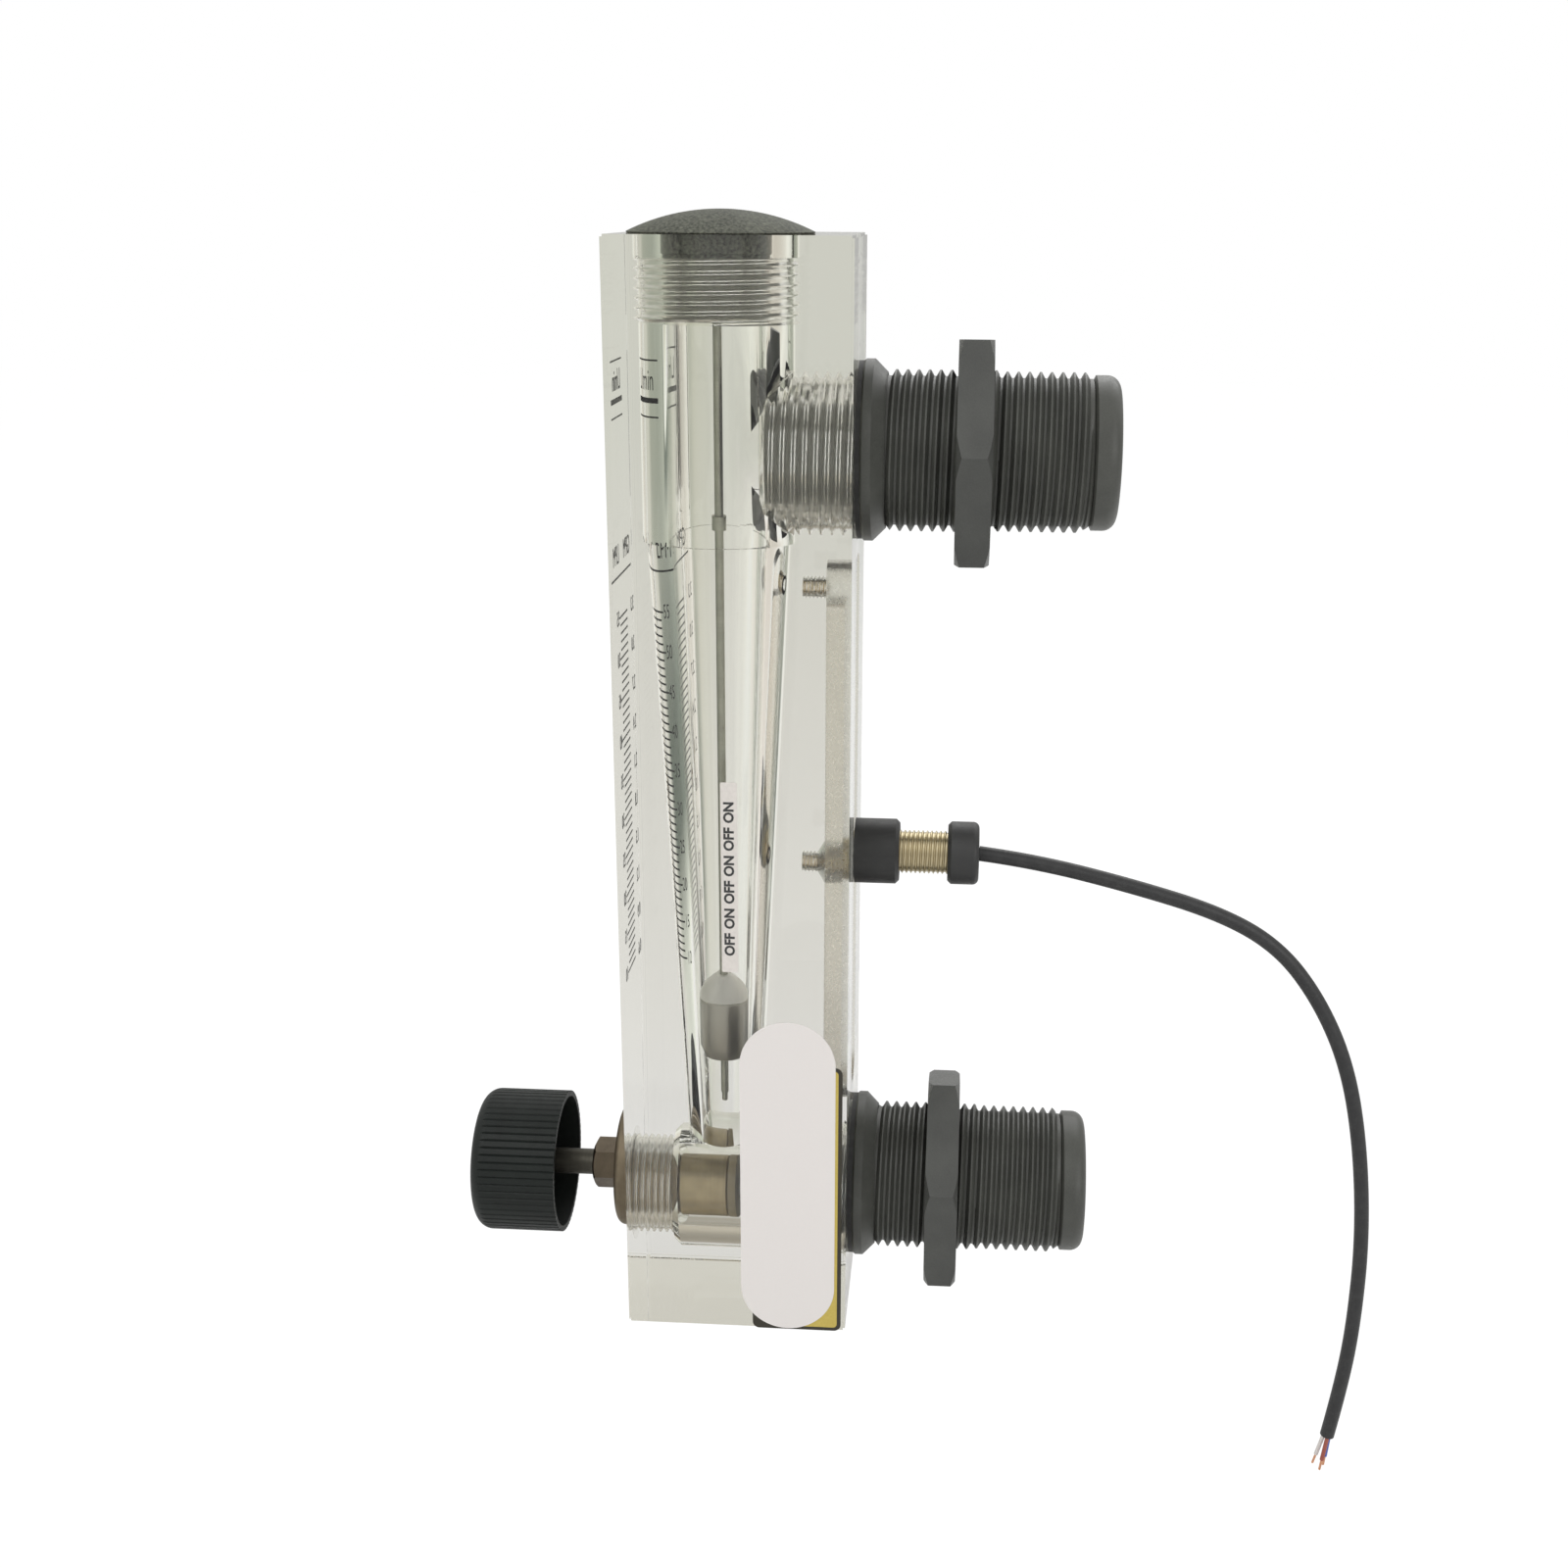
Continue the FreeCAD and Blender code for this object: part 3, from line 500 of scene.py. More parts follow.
NIPPLE_GREY = Moulded("nipple_grey", (0.04, 0.041, 0.036), (0.074, 0.076, 0.067), 0.42)
NUT_GREY = Moulded("nut_grey", (0.042, 0.043, 0.04), (0.068, 0.07, 0.064), 0.4)
KNOB_BLACK = Moulded("knob_black", (0.0085, 0.0095, 0.009), (0.016, 0.02, 0.018), 0.5, 0.5,
                     0.012, gloss=0.2)
SENSOR_BLACK = Moulded("sensor_black", (0.016, 0.016, 0.016), (0.032, 0.032, 0.032), 0.5)
RUBBER = Soft("seal_black", (0.012, 0.012, 0.012), (0.035, 0.035, 0.034))
DISC_RUBBER = Soft("disc_rubber", (0.36, 0.29, 0.18), (0.42, 0.35, 0.23))
FIBRE = Soft("fibre_brown", (0.5, 0.43, 0.33), (0.58, 0.51, 0.4))
SHEATH = Soft("sheath_black", (0.014, 0.014, 0.015), (0.03, 0.03, 0.03), 0.45)
LEAD_BROWN = Soft("lead_brown_pvc", (0.3, 0.07, 0.045), (0.36, 0.11, 0.08), 0.4)
LEAD_BLUE = Soft("lead_blue_pvc", (0.06, 0.1, 0.4), (0.1, 0.15, 0.45), 0.4)
LEAD_PALE = Soft("lead_pale_pvc", (0.66, 0.62, 0.6), (0.75, 0.72, 0.7), 0.4)
POTTING = Soft("potting_resin", (0.012, 0.012, 0.012), (0.025, 0.025, 0.025), 0.25)
COPPER = Turned("copper_strands", (0.85, 0.48, 0.3), (0.4, 0.2, 0.12), Lie.UP)
ROD_STEEL = Turned("rod_steel", (0.42, 0.42, 0.35), (0.25, 0.25, 0.2), Lie.UP, BORE, 0.38)
FLOAT_STEEL = Turned("float_steel", (1.0, 0.92, 0.79), (0.9, 0.81, 0.68), Lie.UP, BORE, 0.66)
CONE_STEEL = Turned("cone_steel", (1.0, 0.985, 0.97), (0.97, 0.95, 0.93), Lie.UP, BORE, 0.55)
MAGNET = Turned("sintered_magnet", (0.16, 0.16, 0.17), (0.1, 0.1, 0.1), Lie.UP, BORE, 0.5)
BONNET_BRASS = Turned("bonnet_brass", (0.37, 0.3, 0.19), (0.25, 0.195, 0.125), Lie.BACK,
                      rough=0.5)
# The flange's brass is a darker copy of the bonnet's brass: painted shade on the part of the
# bonnet that stands outside the block.
SHADED_FLANGE_BRASS = Turned("flange_brass_painted_shade", (0.2, 0.165, 0.115), (0.11, 0.088, 0.06), Lie.BACK,
                      rough=0.5)
GLAND_BRASS = Turned("gland_brass", (0.13, 0.105, 0.075), (0.06, 0.048, 0.035), Lie.BACK,
                     rough=0.4)
STEM_STEEL = Turned("stem_steel", (0.085, 0.08, 0.066), (0.045, 0.042, 0.034), Lie.BACK,
                    rough=0.4)
DISC_BRASS = Turned("disc_brass", (0.44, 0.355, 0.215), (0.235, 0.19, 0.12), Lie.BACK,
                    rough=0.32)
SCREW_STEEL = Turned("screw_steel", (0.45, 0.44, 0.41), (0.3, 0.29, 0.27), Lie.BACK)
INSERT_BRASS = Turned("insert_brass", (0.34, 0.25, 0.13), (0.19, 0.13, 0.065), Lie.BACK,
                      rough=0.4)
SENSOR_BRASS = Turned("sensor_brass", (0.46, 0.385, 0.26), (0.26, 0.205, 0.13), Lie.BACK,
                      (0.0, AT.sensor_z), 0.36)
INK_BLACK = Ink("ink_black", (0.02, 0.02, 0.02), (0.06, 0.06, 0.06))
STRIP_MILKY = Ink("strip_milky", (0.7, 0.66, 0.62), (0.62, 0.58, 0.545), 0.5)
LABEL_YELLOW = Ink("label_yellow", (0.5, 0.38, 0.075), (0.56, 0.44, 0.1), 0.5)
LABEL_BLACK = Ink("label_black", (0.02, 0.016, 0.008), (0.032, 0.027, 0.016), 0.5)
LABEL_PALE = Ink("label_pale", (0.745, 0.708, 0.687), (0.735, 0.7, 0.68), 0.6)


# Pieces

def link(name: str, data: bpy.types.ID) -> bpy.types.Object:
    """Make an object and put it in the scene.

    Args:
        name: the object's name.
        data: its mesh, curve, lamp or camera.

    Returns:
        The object.
    """
    piece = bpy.data.objects.new(name, data)
    bpy.context.scene.collection.objects.link(piece)
    return piece


def dress(piece: bpy.types.Object, finish: Finish) -> None:
    """Give a piece its finish.

    Args:
        piece: the object.
        finish: its finish.
    """
    if piece.material_slots:
        for holder in piece.material_slots:
            holder.material = finish.material()
    else:
        piece.data.materials.append(finish.material())


def dress_nodes(finish: Finish, *names: str) -> None:
    """Give CAD nodes that stay in sight their finish.

    Args:
        finish: the finish.
        names: the nodes.
    """
    for name in names:
        dress(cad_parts[name], finish)
        LOG.info("%s keeps its solid, dressed as %s", name, finish.name)


def settle(piece: bpy.types.Object, slot: str, *nodes: str, body: Body = Body.METER) -> None:
    """Ride a piece on its body and hide the nodes that it stands for.

    Args:
        piece: the object.
        slot: the record's material slot; not used.
        nodes: the CAD nodes that it replaces.
        body: the body that it moves with.
    """
    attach(piece, body.value)
    if nodes:
        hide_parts(*nodes)
    faces = len(getattr(piece.data, "polygons", ()))
    LOG.info("%s: %d faces on %s", piece.name, faces, body.value)


def put(mesh: bpy.types.Mesh, finish: Finish, slot: str, *nodes: str,
        body: Body = Body.METER) -> None:
    """Put a mesh in the scene as a dressed piece.

    Args:
        mesh: the mesh, which gives the piece its name.
        finish: its finish.
        slot: the record's material slot.
        nodes: the CAD nodes that it replaces.
        body: the body that it moves with.
    """
    piece = link(mesh.name, mesh)
    dress(piece, finish)
    settle(piece, slot, *nodes, body=body)


# Mesh building

def shade_smooth(mesh: bpy.types.Mesh) -> None:
    """Shade a mesh smooth but for its sharp edges."""
    mesh.shade_smooth()
    mesh.set_sharp_from_angle(angle=math.radians(SHARP_DEGREES))


def finished(work: bmesh.types.BMesh, name: str) -> bpy.types.Mesh:
    """Make a mesh of a bmesh, which is freed.

    Args:
        work: the bmesh.
        name: the mesh's name.

    Returns:
        The mesh.
    """
    mesh = bpy.data.meshes.new(name)
    work.to_mesh(mesh)
    work.free()
    return mesh


@dataclass(frozen=True)
class Thread:
    """A V thread along part of a turned piece.

    start and end are places along the axis, crest is the outer radius, and origin is the place
    where the crest passes the first column. flank is the angle of the thread's sides, and
    crest_share the flat crest's share of the pitch. lead_start and lead_end are how far the
    crest rises from the root at each end.
    """

    start: float
    end: float
    crest: float
    depth: float
    pitch: float
    flank: float = 30.0
    origin: float = 0.0
    lead_start: float = 0.0
    lead_end: float = 0.0
    crest_share: float = 0.15

    def corners(self) -> list[float]:
        """Give where the crest, the two sides and the root meet, as shares of the pitch."""
        side = self.depth * math.tan(math.radians(self.flank)) / self.pitch
        return [0.0, self.crest_share, self.crest_share + side, 1.0 - side, 1.0]

    def rows(self, segments: int) -> list[tuple[np.ndarray, np.ndarray]]:
        """Give the rows of the thread, each along one turn of the helix.

        Args:
            segments: how many columns go round.

        Returns:
            Pairs of arrays: the places along the axis and the radii.
        """
        turn = np.linspace(0.0, 1.0, segments + 1)
        first = math.floor((self.start - self.origin) / self.pitch) - 1
        last = math.ceil((self.end - self.origin) / self.pitch) + 1
        corners = self.corners()
        phases = [share for low, high in zip(corners, corners[1:])
                  for share in (low, (low + high) / 2)]
        made = []
        for count in range(first, last):
            for phase in phases:
                along = self.origin + (count + phase + turn) * self.pitch
                if along[-1] < self.start or along[0] > self.end + self.pitch:
                    continue
                along = np.clip(along, self.start, self.end)
                made.append((along, self.radius(along, turn)))
        return made

    def radius(self, along: np.ndarray, turn: np.ndarray) -> np.ndarray:
        """Give the thread's radius.

        Args:
            along: places along the axis.
            turn: places round it, as shares of a turn.

        Returns:
            The radii.
        """
        phase = ((along - self.origin) / self.pitch - turn) % 1.0
        fall = np.interp(phase, self.corners(), (0.0, 0.0, 1.0, 1.0, 0.0))
        radius = self.crest - self.depth * fall
        for lead, distance in ((self.lead_start, along - self.start),
                               (self.lead_end, self.end - along)):
            if lead:
                rise = np.clip(distance / lead, 0.0, 1.0)
                radius = np.minimum(radius, self.crest - self.depth * (1.0 - rise))
        return radius


class Lathe:
    """A turned mesh that grows row by row, from one end of its section to the other."""

    def __init__(self, segments: int = 96) -> None:
        """Start an empty section with a number of columns."""
        self.segments = segments
        self.rows: list[tuple[np.ndarray, np.ndarray]] = []

    def to(self, radius: float, along: float) -> "Lathe":
        """Draw to a point of the section.

        Args:
            radius: its distance from the axis.
            along: its place along the axis.

        Returns:
            The lathe.
        """
        full = np.ones(self.segments + 1)
        self.rows.append((along * full, radius * full))
        return self

    def arc(self, centre: Pair, radius: float, start: float, end: float,
            steps: int = 8) -> "Lathe":
        """Draw an arc.

        Args:
            centre: its centre, as (radius, along).
            radius: its own radius.
            start: its first angle in degrees, from the radial direction towards the axis' end.
            end: its last angle.
            steps: how many edges it has.

        Returns:
            The lathe.
        """
        for step in range(steps + 1):
            angle = math.radians(start + (end - start) * step / steps)
            self.to(centre[0] + radius * math.cos(angle), centre[1] + radius * math.sin(angle))
        return self

    def thread(self, thread: Thread) -> "Lathe":
        """Draw a thread."""
        self.rows.extend(thread.rows(self.segments))
        return self

    def mesh(self, name: str, lie: Lie, centre: Pair = (0.0, 0.0),
             closed: bool = False) -> bpy.types.Mesh:
        """Turn the section.

        Args:
            name: the mesh's name.
            lie: which way its axis lies.
            centre: where the axis passes, as (x, y) for UP and (x, z) for BACK.
            closed: whether the section joins its own start, as in a ring.

        Returns:
            The mesh, closed and welded.
        """
        rows = self.rows + self.rows[:1] if closed else self.rows
        along = np.array([row[0] for row in rows])
        radius = np.array([row[1] for row in rows])
        angle = np.linspace(0.0, 2.0 * math.pi, self.segments + 1)
        across = centre[0] + radius * np.cos(angle)
        third = centre[1] + radius * np.sin(angle)
        order = (across, third, along) if lie is Lie.UP else (across, along, third)
        points = np.stack(order, axis=-1).reshape(-1, 3) * MM
        columns = self.segments + 1
        corner = np.arange(len(rows) - 1)[:, None] * columns + np.arange(self.segments)
        corner = corner.ravel()
        faces = np.stack((corner, corner + 1, corner + 1 + columns, corner + columns), axis=1)
        mesh = bpy.data.meshes.new(name)
        mesh.from_pydata(points.tolist(), [], faces.tolist())
        work = bmesh.new()
        work.from_mesh(mesh)
        bmesh.ops.remove_doubles(work, verts=work.verts, dist=WELD)
        bmesh.ops.dissolve_degenerate(work, dist=WELD, edges=work.edges)
        bmesh.ops.recalc_face_normals(work, faces=work.faces)
        work.to_mesh(mesh)
        work.free()
        shade_smooth(mesh)
        return mesh


def bevelled_box(name: str, low: Point, high: Point, edge: float) -> bpy.types.Mesh:
    """Make a box with rounded edges.

    Args:
        name: the mesh's name.
        low: its lowest corner in millimetres.
        high: its highest corner.
        edge: how wide the rounding is.

    Returns:
        The mesh.
    """
    work = bmesh.new()
    bmesh.ops.create_cube(work, size=1.0)
    size = [h - l for l, h in zip(low, high)]
    middle = [(h + l) / 2 for l, h in zip(low, high)]
    for vert in work.verts:
        vert.co = Vector([(m + c * s) * MM for m, c, s in zip(middle, vert.co, size)])
    bmesh.ops.bevel(work, geom=work.edges, offset=edge * MM, segments=CORNER_FACES,
                    affect="EDGES")
    return finished(work, name)


def prism(name: str, outline: Sequence[Pair], low: float, high: float,
          plane: str) -> bpy.types.Mesh:
    """Make a prism of a flat outline.

    Args:
        name: the mesh's name.
        outline: its corners in millimetres.
        low: where it starts.
        high: where it ends.
        plane: "xz" for an outline in X and Z, drawn out along Y, or "yz", drawn out along X.

    Returns:
        The mesh.
    """
    work = bmesh.new()
    ends = []
    for depth in (low, high):
        places = [(a, depth, b) if plane == "xz" else (depth, a, b) for a, b in outline]
        ends.append([work.verts.new([c * MM for c in place]) for place in places])
    work.faces.new(ends[0])
    work.faces.new(ends[1][::-1])
    count = len(outline)
    for index in range(count):
        after = (index + 1) % count
        work.faces.new((ends[0][index], ends[1][index], ends[1][after], ends[0][after]))
    bmesh.ops.recalc_face_normals(work, faces=work.faces)
    return finished(work, name)


def rounded_outline(low: Pair, high: Pair, radius: float, steps: int) -> list[Pair]:
    """Give the outline of a rectangle with round corners.

    Args:
        low: its lowest corner.
        high: its highest corner.
        radius: the corners' radius.
        steps: how many edges each corner has.

    Returns:
        The outline's points.
    """
    centres = ((high[0] - radius, high[1] - radius, 0), (low[0] + radius, high[1] - radius, 90),
               (low[0] + radius, low[1] + radius, 180), (high[0] - radius, low[1] + radius, 270))
    points = []
    for a, b, turn in centres:
        for step in range(steps + 1):
            angle = math.radians(turn + 90 * step / steps)
            points.append((a + radius * math.cos(angle), b + radius * math.sin(angle)))
    return points


def joined(name: str, meshes: Iterable[bpy.types.Mesh]) -> bpy.types.Mesh:
    """Put meshes together in one.

    Args:
        name: the new mesh's name.
        meshes: the meshes, which are taken away.

    Returns:
        The new mesh.
    """
    work = bmesh.new()
    for mesh in meshes:
        work.from_mesh(mesh)
        bpy.data.meshes.remove(mesh)
    return finished(work, name)


def cut_by(mesh: bpy.types.Mesh, finish: Clear, axis: int, low: float,
           high: float) -> bpy.types.Mesh:
    """Say which of a cutter's faces leave a frosted surface.

    Args:
        mesh: the cutter, whose other faces leave a polished surface.
        finish: the frosted finish.
        axis: 0, 1 or 2 for the axis along which the frosted part lies.
        low: where it starts.
        high: where it ends.

    Returns:
        The cutter.
    """
    for part in (ACRYLIC, finish):
        mesh.materials.append(part.material())
    for face in mesh.polygons:
        face.material_index = int(low * MM < face.center[axis] < high * MM)
    return mesh


def carve(body: bpy.types.Object, cutters: Iterable[bpy.types.Mesh]) -> None:
    """Cut meshes out of an object, which takes over their materials.

    Args:
        body: the object that is cut.
        cutters: closed meshes, which are taken away.
    """
    for index, cutter in enumerate(cutters):
        tool = link("cutter_%d" % index, cutter)
        modifier = body.modifiers.new("cut_%d" % index, "BOOLEAN")
        modifier.operation = "DIFFERENCE"
        modifier.solver = "EXACT"
        modifier.material_mode = "TRANSFER"
        modifier.object = tool
        bpy.context.view_layer.update()
        shape = body.evaluated_get(bpy.context.evaluated_depsgraph_get())
        cut = bpy.data.meshes.new_from_object(shape)
        body.modifiers.clear()
        old = body.data
        body.data = cut
        bpy.data.meshes.remove(old)
        bpy.data.objects.remove(tool)


def printed(words: str, size: float, ink: float, stand: Matrix,
            bold: float = 0.0) -> bpy.types.Mesh:
    """Make plain printed characters.

    Args:
        words: the characters.
        size: their height in millimetres.
        ink: half the ink's thickness.
        stand: how they stand in the frame; they are made in XY, read from +Z.
        bold: how far their outline grows.

    Returns:
        The mesh.
    """
    curve = bpy.data.curves.new("letters", "FONT")
    curve.body = words
    curve.size = size * MM * LETTER_SCALE
    curve.extrude = ink * MM
    curve.offset = bold * MM
    curve.align_x = "CENTER"
    curve.align_y = "CENTER"
    curve.resolution_u = 3
    holder = link("letters", curve)
    shape = holder.evaluated_get(bpy.context.evaluated_depsgraph_get())
    mesh = bpy.data.meshes.new_from_object(shape)
    bpy.data.objects.remove(holder)
    bpy.data.curves.remove(curve)
    mesh.materials.clear()
    mesh.transform(stand)
    return mesh


def quarter(axis: str) -> Matrix:
    """Give a quarter turn about an axis."""
    return Matrix.Rotation(math.radians(90), 4, axis)


# The camera

@dataclass
class PhotoCamera:
    """The photograph's camera, fitted to the block's corners and the two threads."""

    place: Point = (0.40842, -0.01479, 0.22026)
    lens_mm: float = 44.03
    sensor_mm: float = 36.0
    down_degrees: float = 16.89
    turn_degrees: float = 3.86
    roll_degrees: float = 0.36
    shift: float = -0.03

    def build(self) -> None:
        """Make the camera and look through it."""
        down, turn, roll = (math.radians(angle) for angle in
                            (self.down_degrees, self.turn_degrees, self.roll_degrees))
        ahead = Vector((-math.cos(turn) * math.cos(down), -math.sin(turn) * math.cos(down),
                        -math.sin(down)))
        level = Vector((-math.sin(turn), math.cos(turn), 0.0))
        above = level.cross(ahead)
        right = level * math.cos(roll) + above * math.sin(roll)
        up = above * math.cos(roll) - level * math.sin(roll)
        lens = bpy.data.cameras.new("photo_camera")
        lens.lens = self.lens_mm
        lens.sensor_width = self.sensor_mm
        lens.shift_x = self.shift
        lens.clip_start = 0.01
        camera = link("photo_camera", lens)
        turned = Matrix((right, up, -ahead)).transposed().to_4x4()
        camera.matrix_world = Matrix.Translation(Vector(self.place)) @ turned
        bpy.context.scene.camera = camera


# The alarm cable

@dataclass
class AlarmCable:
    """The sensor's cable, hanging from the cap, and the three bare leads at its end."""

    radius: float = 1.7
    length_mm: float = 203.86
    lead_columns: int = 24
    lead_radius: float = 0.5
    lead_length: float = 9.0
    lead_ring: float = 0.75
    lead_edge: float = 0.1
    lead_lean_degrees: float = 5.0
    strip_length: float = 2.6
    strand_columns: int = 10
    strands_round: int = 6
    strand_ring: float = 0.198
    strand_radius: float = 0.1
    strand_root: float = 0.2
    strand_step: float = 0.05
    route: tuple = ((0.0, 0.0), (11.9, -1.4), (33.4, -6.4), (54.4, -12.6), (67.9, -20.3),
                    (77.7, -32.6), (85.4, -48.6), (90.0, -68.6), (92.6, -92.6),
                    (92.5, -115.6), (91.0, -132.6), (88.7, -147.0))
    leads: tuple = (("lead_brown", LEAD_BROWN), ("lead_blue", LEAD_BLUE),
                    ("lead_white", LEAD_PALE))

    def points(self) -> list[Vector]:
        """Give the route in metres of the frame."""
        return [Vector((0.0, AT.cap_end_y + out, AT.sensor_z + up)) * MM for out, up in self.route]

    def build(self) -> None:
        """Make the cable and its leads."""
        points = self.points()
        curve = bpy.data.curves.new("alarm_cable", "CURVE")
        curve.dimensions = "3D"
        curve.resolution_u = 16
        curve.bevel_depth = self.radius * MM
        curve.bevel_resolution = 8
        curve.use_fill_caps = True
        spline = curve.splines.new("NURBS")
        spline.points.add(len(points) - 1)
        for knot, point in zip(spline.points, points):
            knot.co = (*point, 1.0)
        spline.order_u = 3
        spline.use_endpoint_u = True
        cable = link("alarm_cable", curve)
        dress(cable, SHEATH)
        settle(cable, "cable_sheath", "sensor_cable")
        pieces = [self.lead(index, *lead) for index, lead in enumerate(self.leads)]
        2 * self.radius * MM

    def lead(self, index: int, node: str, finish: Soft) -> bpy.types.Object:
        """Make one lead: insulation, then bare strands.

        Args:
            index: which of the three it is.
            node: the CAD node that it stands for.
            finish: the insulation's finish.

        Returns:
            The lead.
        """
        points = self.points()
        along = (points[-1] - points[-2]).normalized()
        across = Vector((1, 0, 0)).cross(along)
        turn = 2 * math.pi * index / len(self.leads)
        aside = Vector((1, 0, 0)) * math.cos(turn) + across * math.sin(turn)
        lean = math.radians(self.lead_lean_degrees)
        direction = along * math.cos(lean) + aside * math.sin(lean)
        start = points[-1] + aside * self.lead_ring * MM
        start += along * self.lead_radius * MM * math.sin(lean)
        skin_end = self.lead_length - self.strip_length
        skin = Lathe(self.lead_columns).to(0, 0).to(self.lead_radius, 0)
        skin.to(self.lead_radius, skin_end - self.lead_edge)
        skin.to(self.lead_radius - self.lead_edge, skin_end).to(0, skin_end)
        meshes = [skin.mesh("skin", Lie.UP)]
        skin_faces = len(meshes[0].polygons)
        root = skin_end - self.strand_root
        for strand in range(self.strands_round + 1):
            angle = 2 * math.pi * strand / self.strands_round
            reach = 0.0 if strand == self.strands_round else self.strand_ring
            centre = (reach * math.cos(angle), reach * math.sin(angle))
            end = self.lead_length - self.strand_step * (strand % 3)
            wire = Lathe(self.strand_columns).to(0, root).to(self.strand_radius, root)
            wire.to(self.strand_radius, end).to(0, end)
            meshes.append(wire.mesh("strand", Lie.UP, centre))
        mesh = joined(node + "_wire", meshes)
        shade_smooth(mesh)
        turned = direction.to_track_quat("Z", "Y").to_matrix().to_4x4()
        mesh.transform(Matrix.Translation(start) @ turned)
        piece = link(node + "_wire", mesh)
        for part in (finish, COPPER):
            mesh.materials.append(part.material())
        for face in list(mesh.polygons)[skin_faces:]:
            face.material_index = 1
        settle(piece, node, node)
        return piece


# The clear block

PORT_THREAD = dict(depth=1.3, pitch=2.309)
PLUG_THREAD = dict(depth=0.84, pitch=1.95, flank=35.0)
BONNET_THREAD = dict(depth=0.84, pitch=1.5)
INSERT_THREAD = dict(depth=0.32, pitch=0.8)
INSERT_RADIUS = 2.35
INSERT_LENGTH = 5.2
THREAD_GAP = 0.06


@dataclass
class ClearBlock:
    """The clear acrylic block with its bores, ports, back channel and cut threads."""

    edge: float = 0.5
    segments: int = 128
    chamber_radius: float = 16.2
    plug_radius: float = 17.0
    plug_neck: float = 4.6
    plug_hole_depth: float = 17.6
    taper_top: float = 15.3
    taper_low: float = 8.4
    port_radius: float = 16.85
    port_tapping: float = 15.15
    port_depth: float = 19.5
    valve_chamber_depth: float = 40.5
    valve_chamber_edge: float = 1.5
    bonnet_radius: float = 12.0
    seal_radius: float = 14.0
    seal_gap: float = 0.03
    channel_half: float = 6.0
    channel_flat: float = 0.001
    channel_steps: int = 24
    channel_over_base: float = 52.0
    channel_under_top: float = 66.0
    spot_radius: float = 5.3
    spot_depth: float = 1.75
    over: float = 1.0

    def build(self) -> None:
        """Make the block, cut its hollows and polish it."""
        low = (-AT.half_width, AT.front_y, AT.base_z)
        high = (AT.half_width, AT.back_y, AT.top_z)
        block = link("clear_block", bevelled_box("clear_block", low, high, self.edge))
        dress(block, ACRYLIC)
        cutters = [self.bore(), self.port(AT.outlet_z, AT.bore_y, 0.0),
                   self.port(0.0, AT.back_y - self.valve_chamber_depth, self.valve_chamber_edge),
                   self.bonnet_hole(), self.channel(), self.sensor_spot(),
                   self.insert_hole(AT.sensor_z), self.insert_hole(AT.spare_z)]
        carve(block, cutters)
        shade_smooth(block.data)
        settle(block, "acrylic", "block_left", "block_right")

    def bore(self) -> bpy.types.Mesh:
        """Make the plug's tapped hole, the chamber, the tapered bore and the throat.

        Returns:
            The hollow's mesh.
        """
        mouth = AT.top_z + self.over
        neck = AT.top_z - self.plug_neck
        hole_end = AT.top_z - self.plug_hole_depth
        crest = self.plug_radius + THREAD_GAP
        lathe = Lathe(self.segments).to(0, 0).to(self.taper_low, 0)
        lathe.to(self.taper_low, self.port_tapping).to(self.taper_top, AT.step_z)
        lathe.to(self.chamber_radius, AT.step_z).to(self.chamber_radius, hole_end)
        lathe.thread(Thread(hole_end, neck, crest, origin=neck, **PLUG_THREAD))
        lathe.to(crest, neck).to(crest, mouth).to(0, mouth)
        return cut_by(lathe.mesh("bore", Lie.UP, BORE), TAPPED, 2, hole_end, neck)

    def port(self, height: float, end: float, edge: float) -> bpy.types.Mesh:
        """Make a tapped port.

        Args:
            height: its axis' height.
            end: where its plain bore ends.
            edge: the chamfer at the end.

        Returns:
            The hollow's mesh.
        """
        thread_end = AT.back_y - self.port_depth
        mouth = AT.back_y + self.over
        crest = self.port_radius + THREAD_GAP
        lathe = Lathe(self.segments).to(0, end).to(self.port_tapping - edge, end)
        lathe.to(self.port_tapping, end + edge).to(self.port_tapping, thread_end)
        lathe.thread(Thread(thread_end, AT.back_y, crest, origin=AT.back_y, **PORT_THREAD))
        lathe.to(crest, AT.back_y).to(crest, mouth).to(0, mouth)
        mesh = lathe.mesh("port", Lie.BACK, (0.0, height))
        return cut_by(mesh, TAPPED, 1, thread_end, AT.back_y)

    def bonnet_hole(self) -> bpy.types.Mesh:
        """Make the bonnet's tapped hole and the thin gap under its seal.

        Returns:
            The hollow's mesh.
        """
        end = AT.back_y - self.valve_chamber_depth
        crest = self.bonnet_radius + THREAD_GAP
        root = crest - BONNET_THREAD["depth"]
        outside = AT.front_y - self.over
        mouth = AT.front_y + self.seal_gap
        lathe = Lathe(self.segments).to(0, outside).to(self.seal_radius, outside)
        lathe.to(self.seal_radius, mouth).to(crest, mouth)
        lathe.thread(Thread(mouth, end, crest, origin=AT.front_y, **BONNET_THREAD))
        lathe.to(root, end).to(root, end + self.over).to(0, end + self.over)
        return cut_by(lathe.mesh("bonnet_hole", Lie.BACK), GREASED, 1, AT.front_y, end)

    def channel(self) -> bpy.types.Mesh:
        """Make the round ended channel of the back face.

        Returns:
            The hollow's mesh.
        """
        low = (-self.channel_half, AT.base_z + self.channel_over_base)
        high = (self.channel_half, AT.top_z - self.channel_under_top)
        outline = rounded_outline(low, high, self.channel_half - self.channel_flat,
                                  self.channel_steps)
        mesh = prism("channel", outline, AT.channel_y, AT.back_y + self.over, "xz")
        return cut_by(mesh, MILLED, 1, AT.channel_y - self.over, AT.back_y)

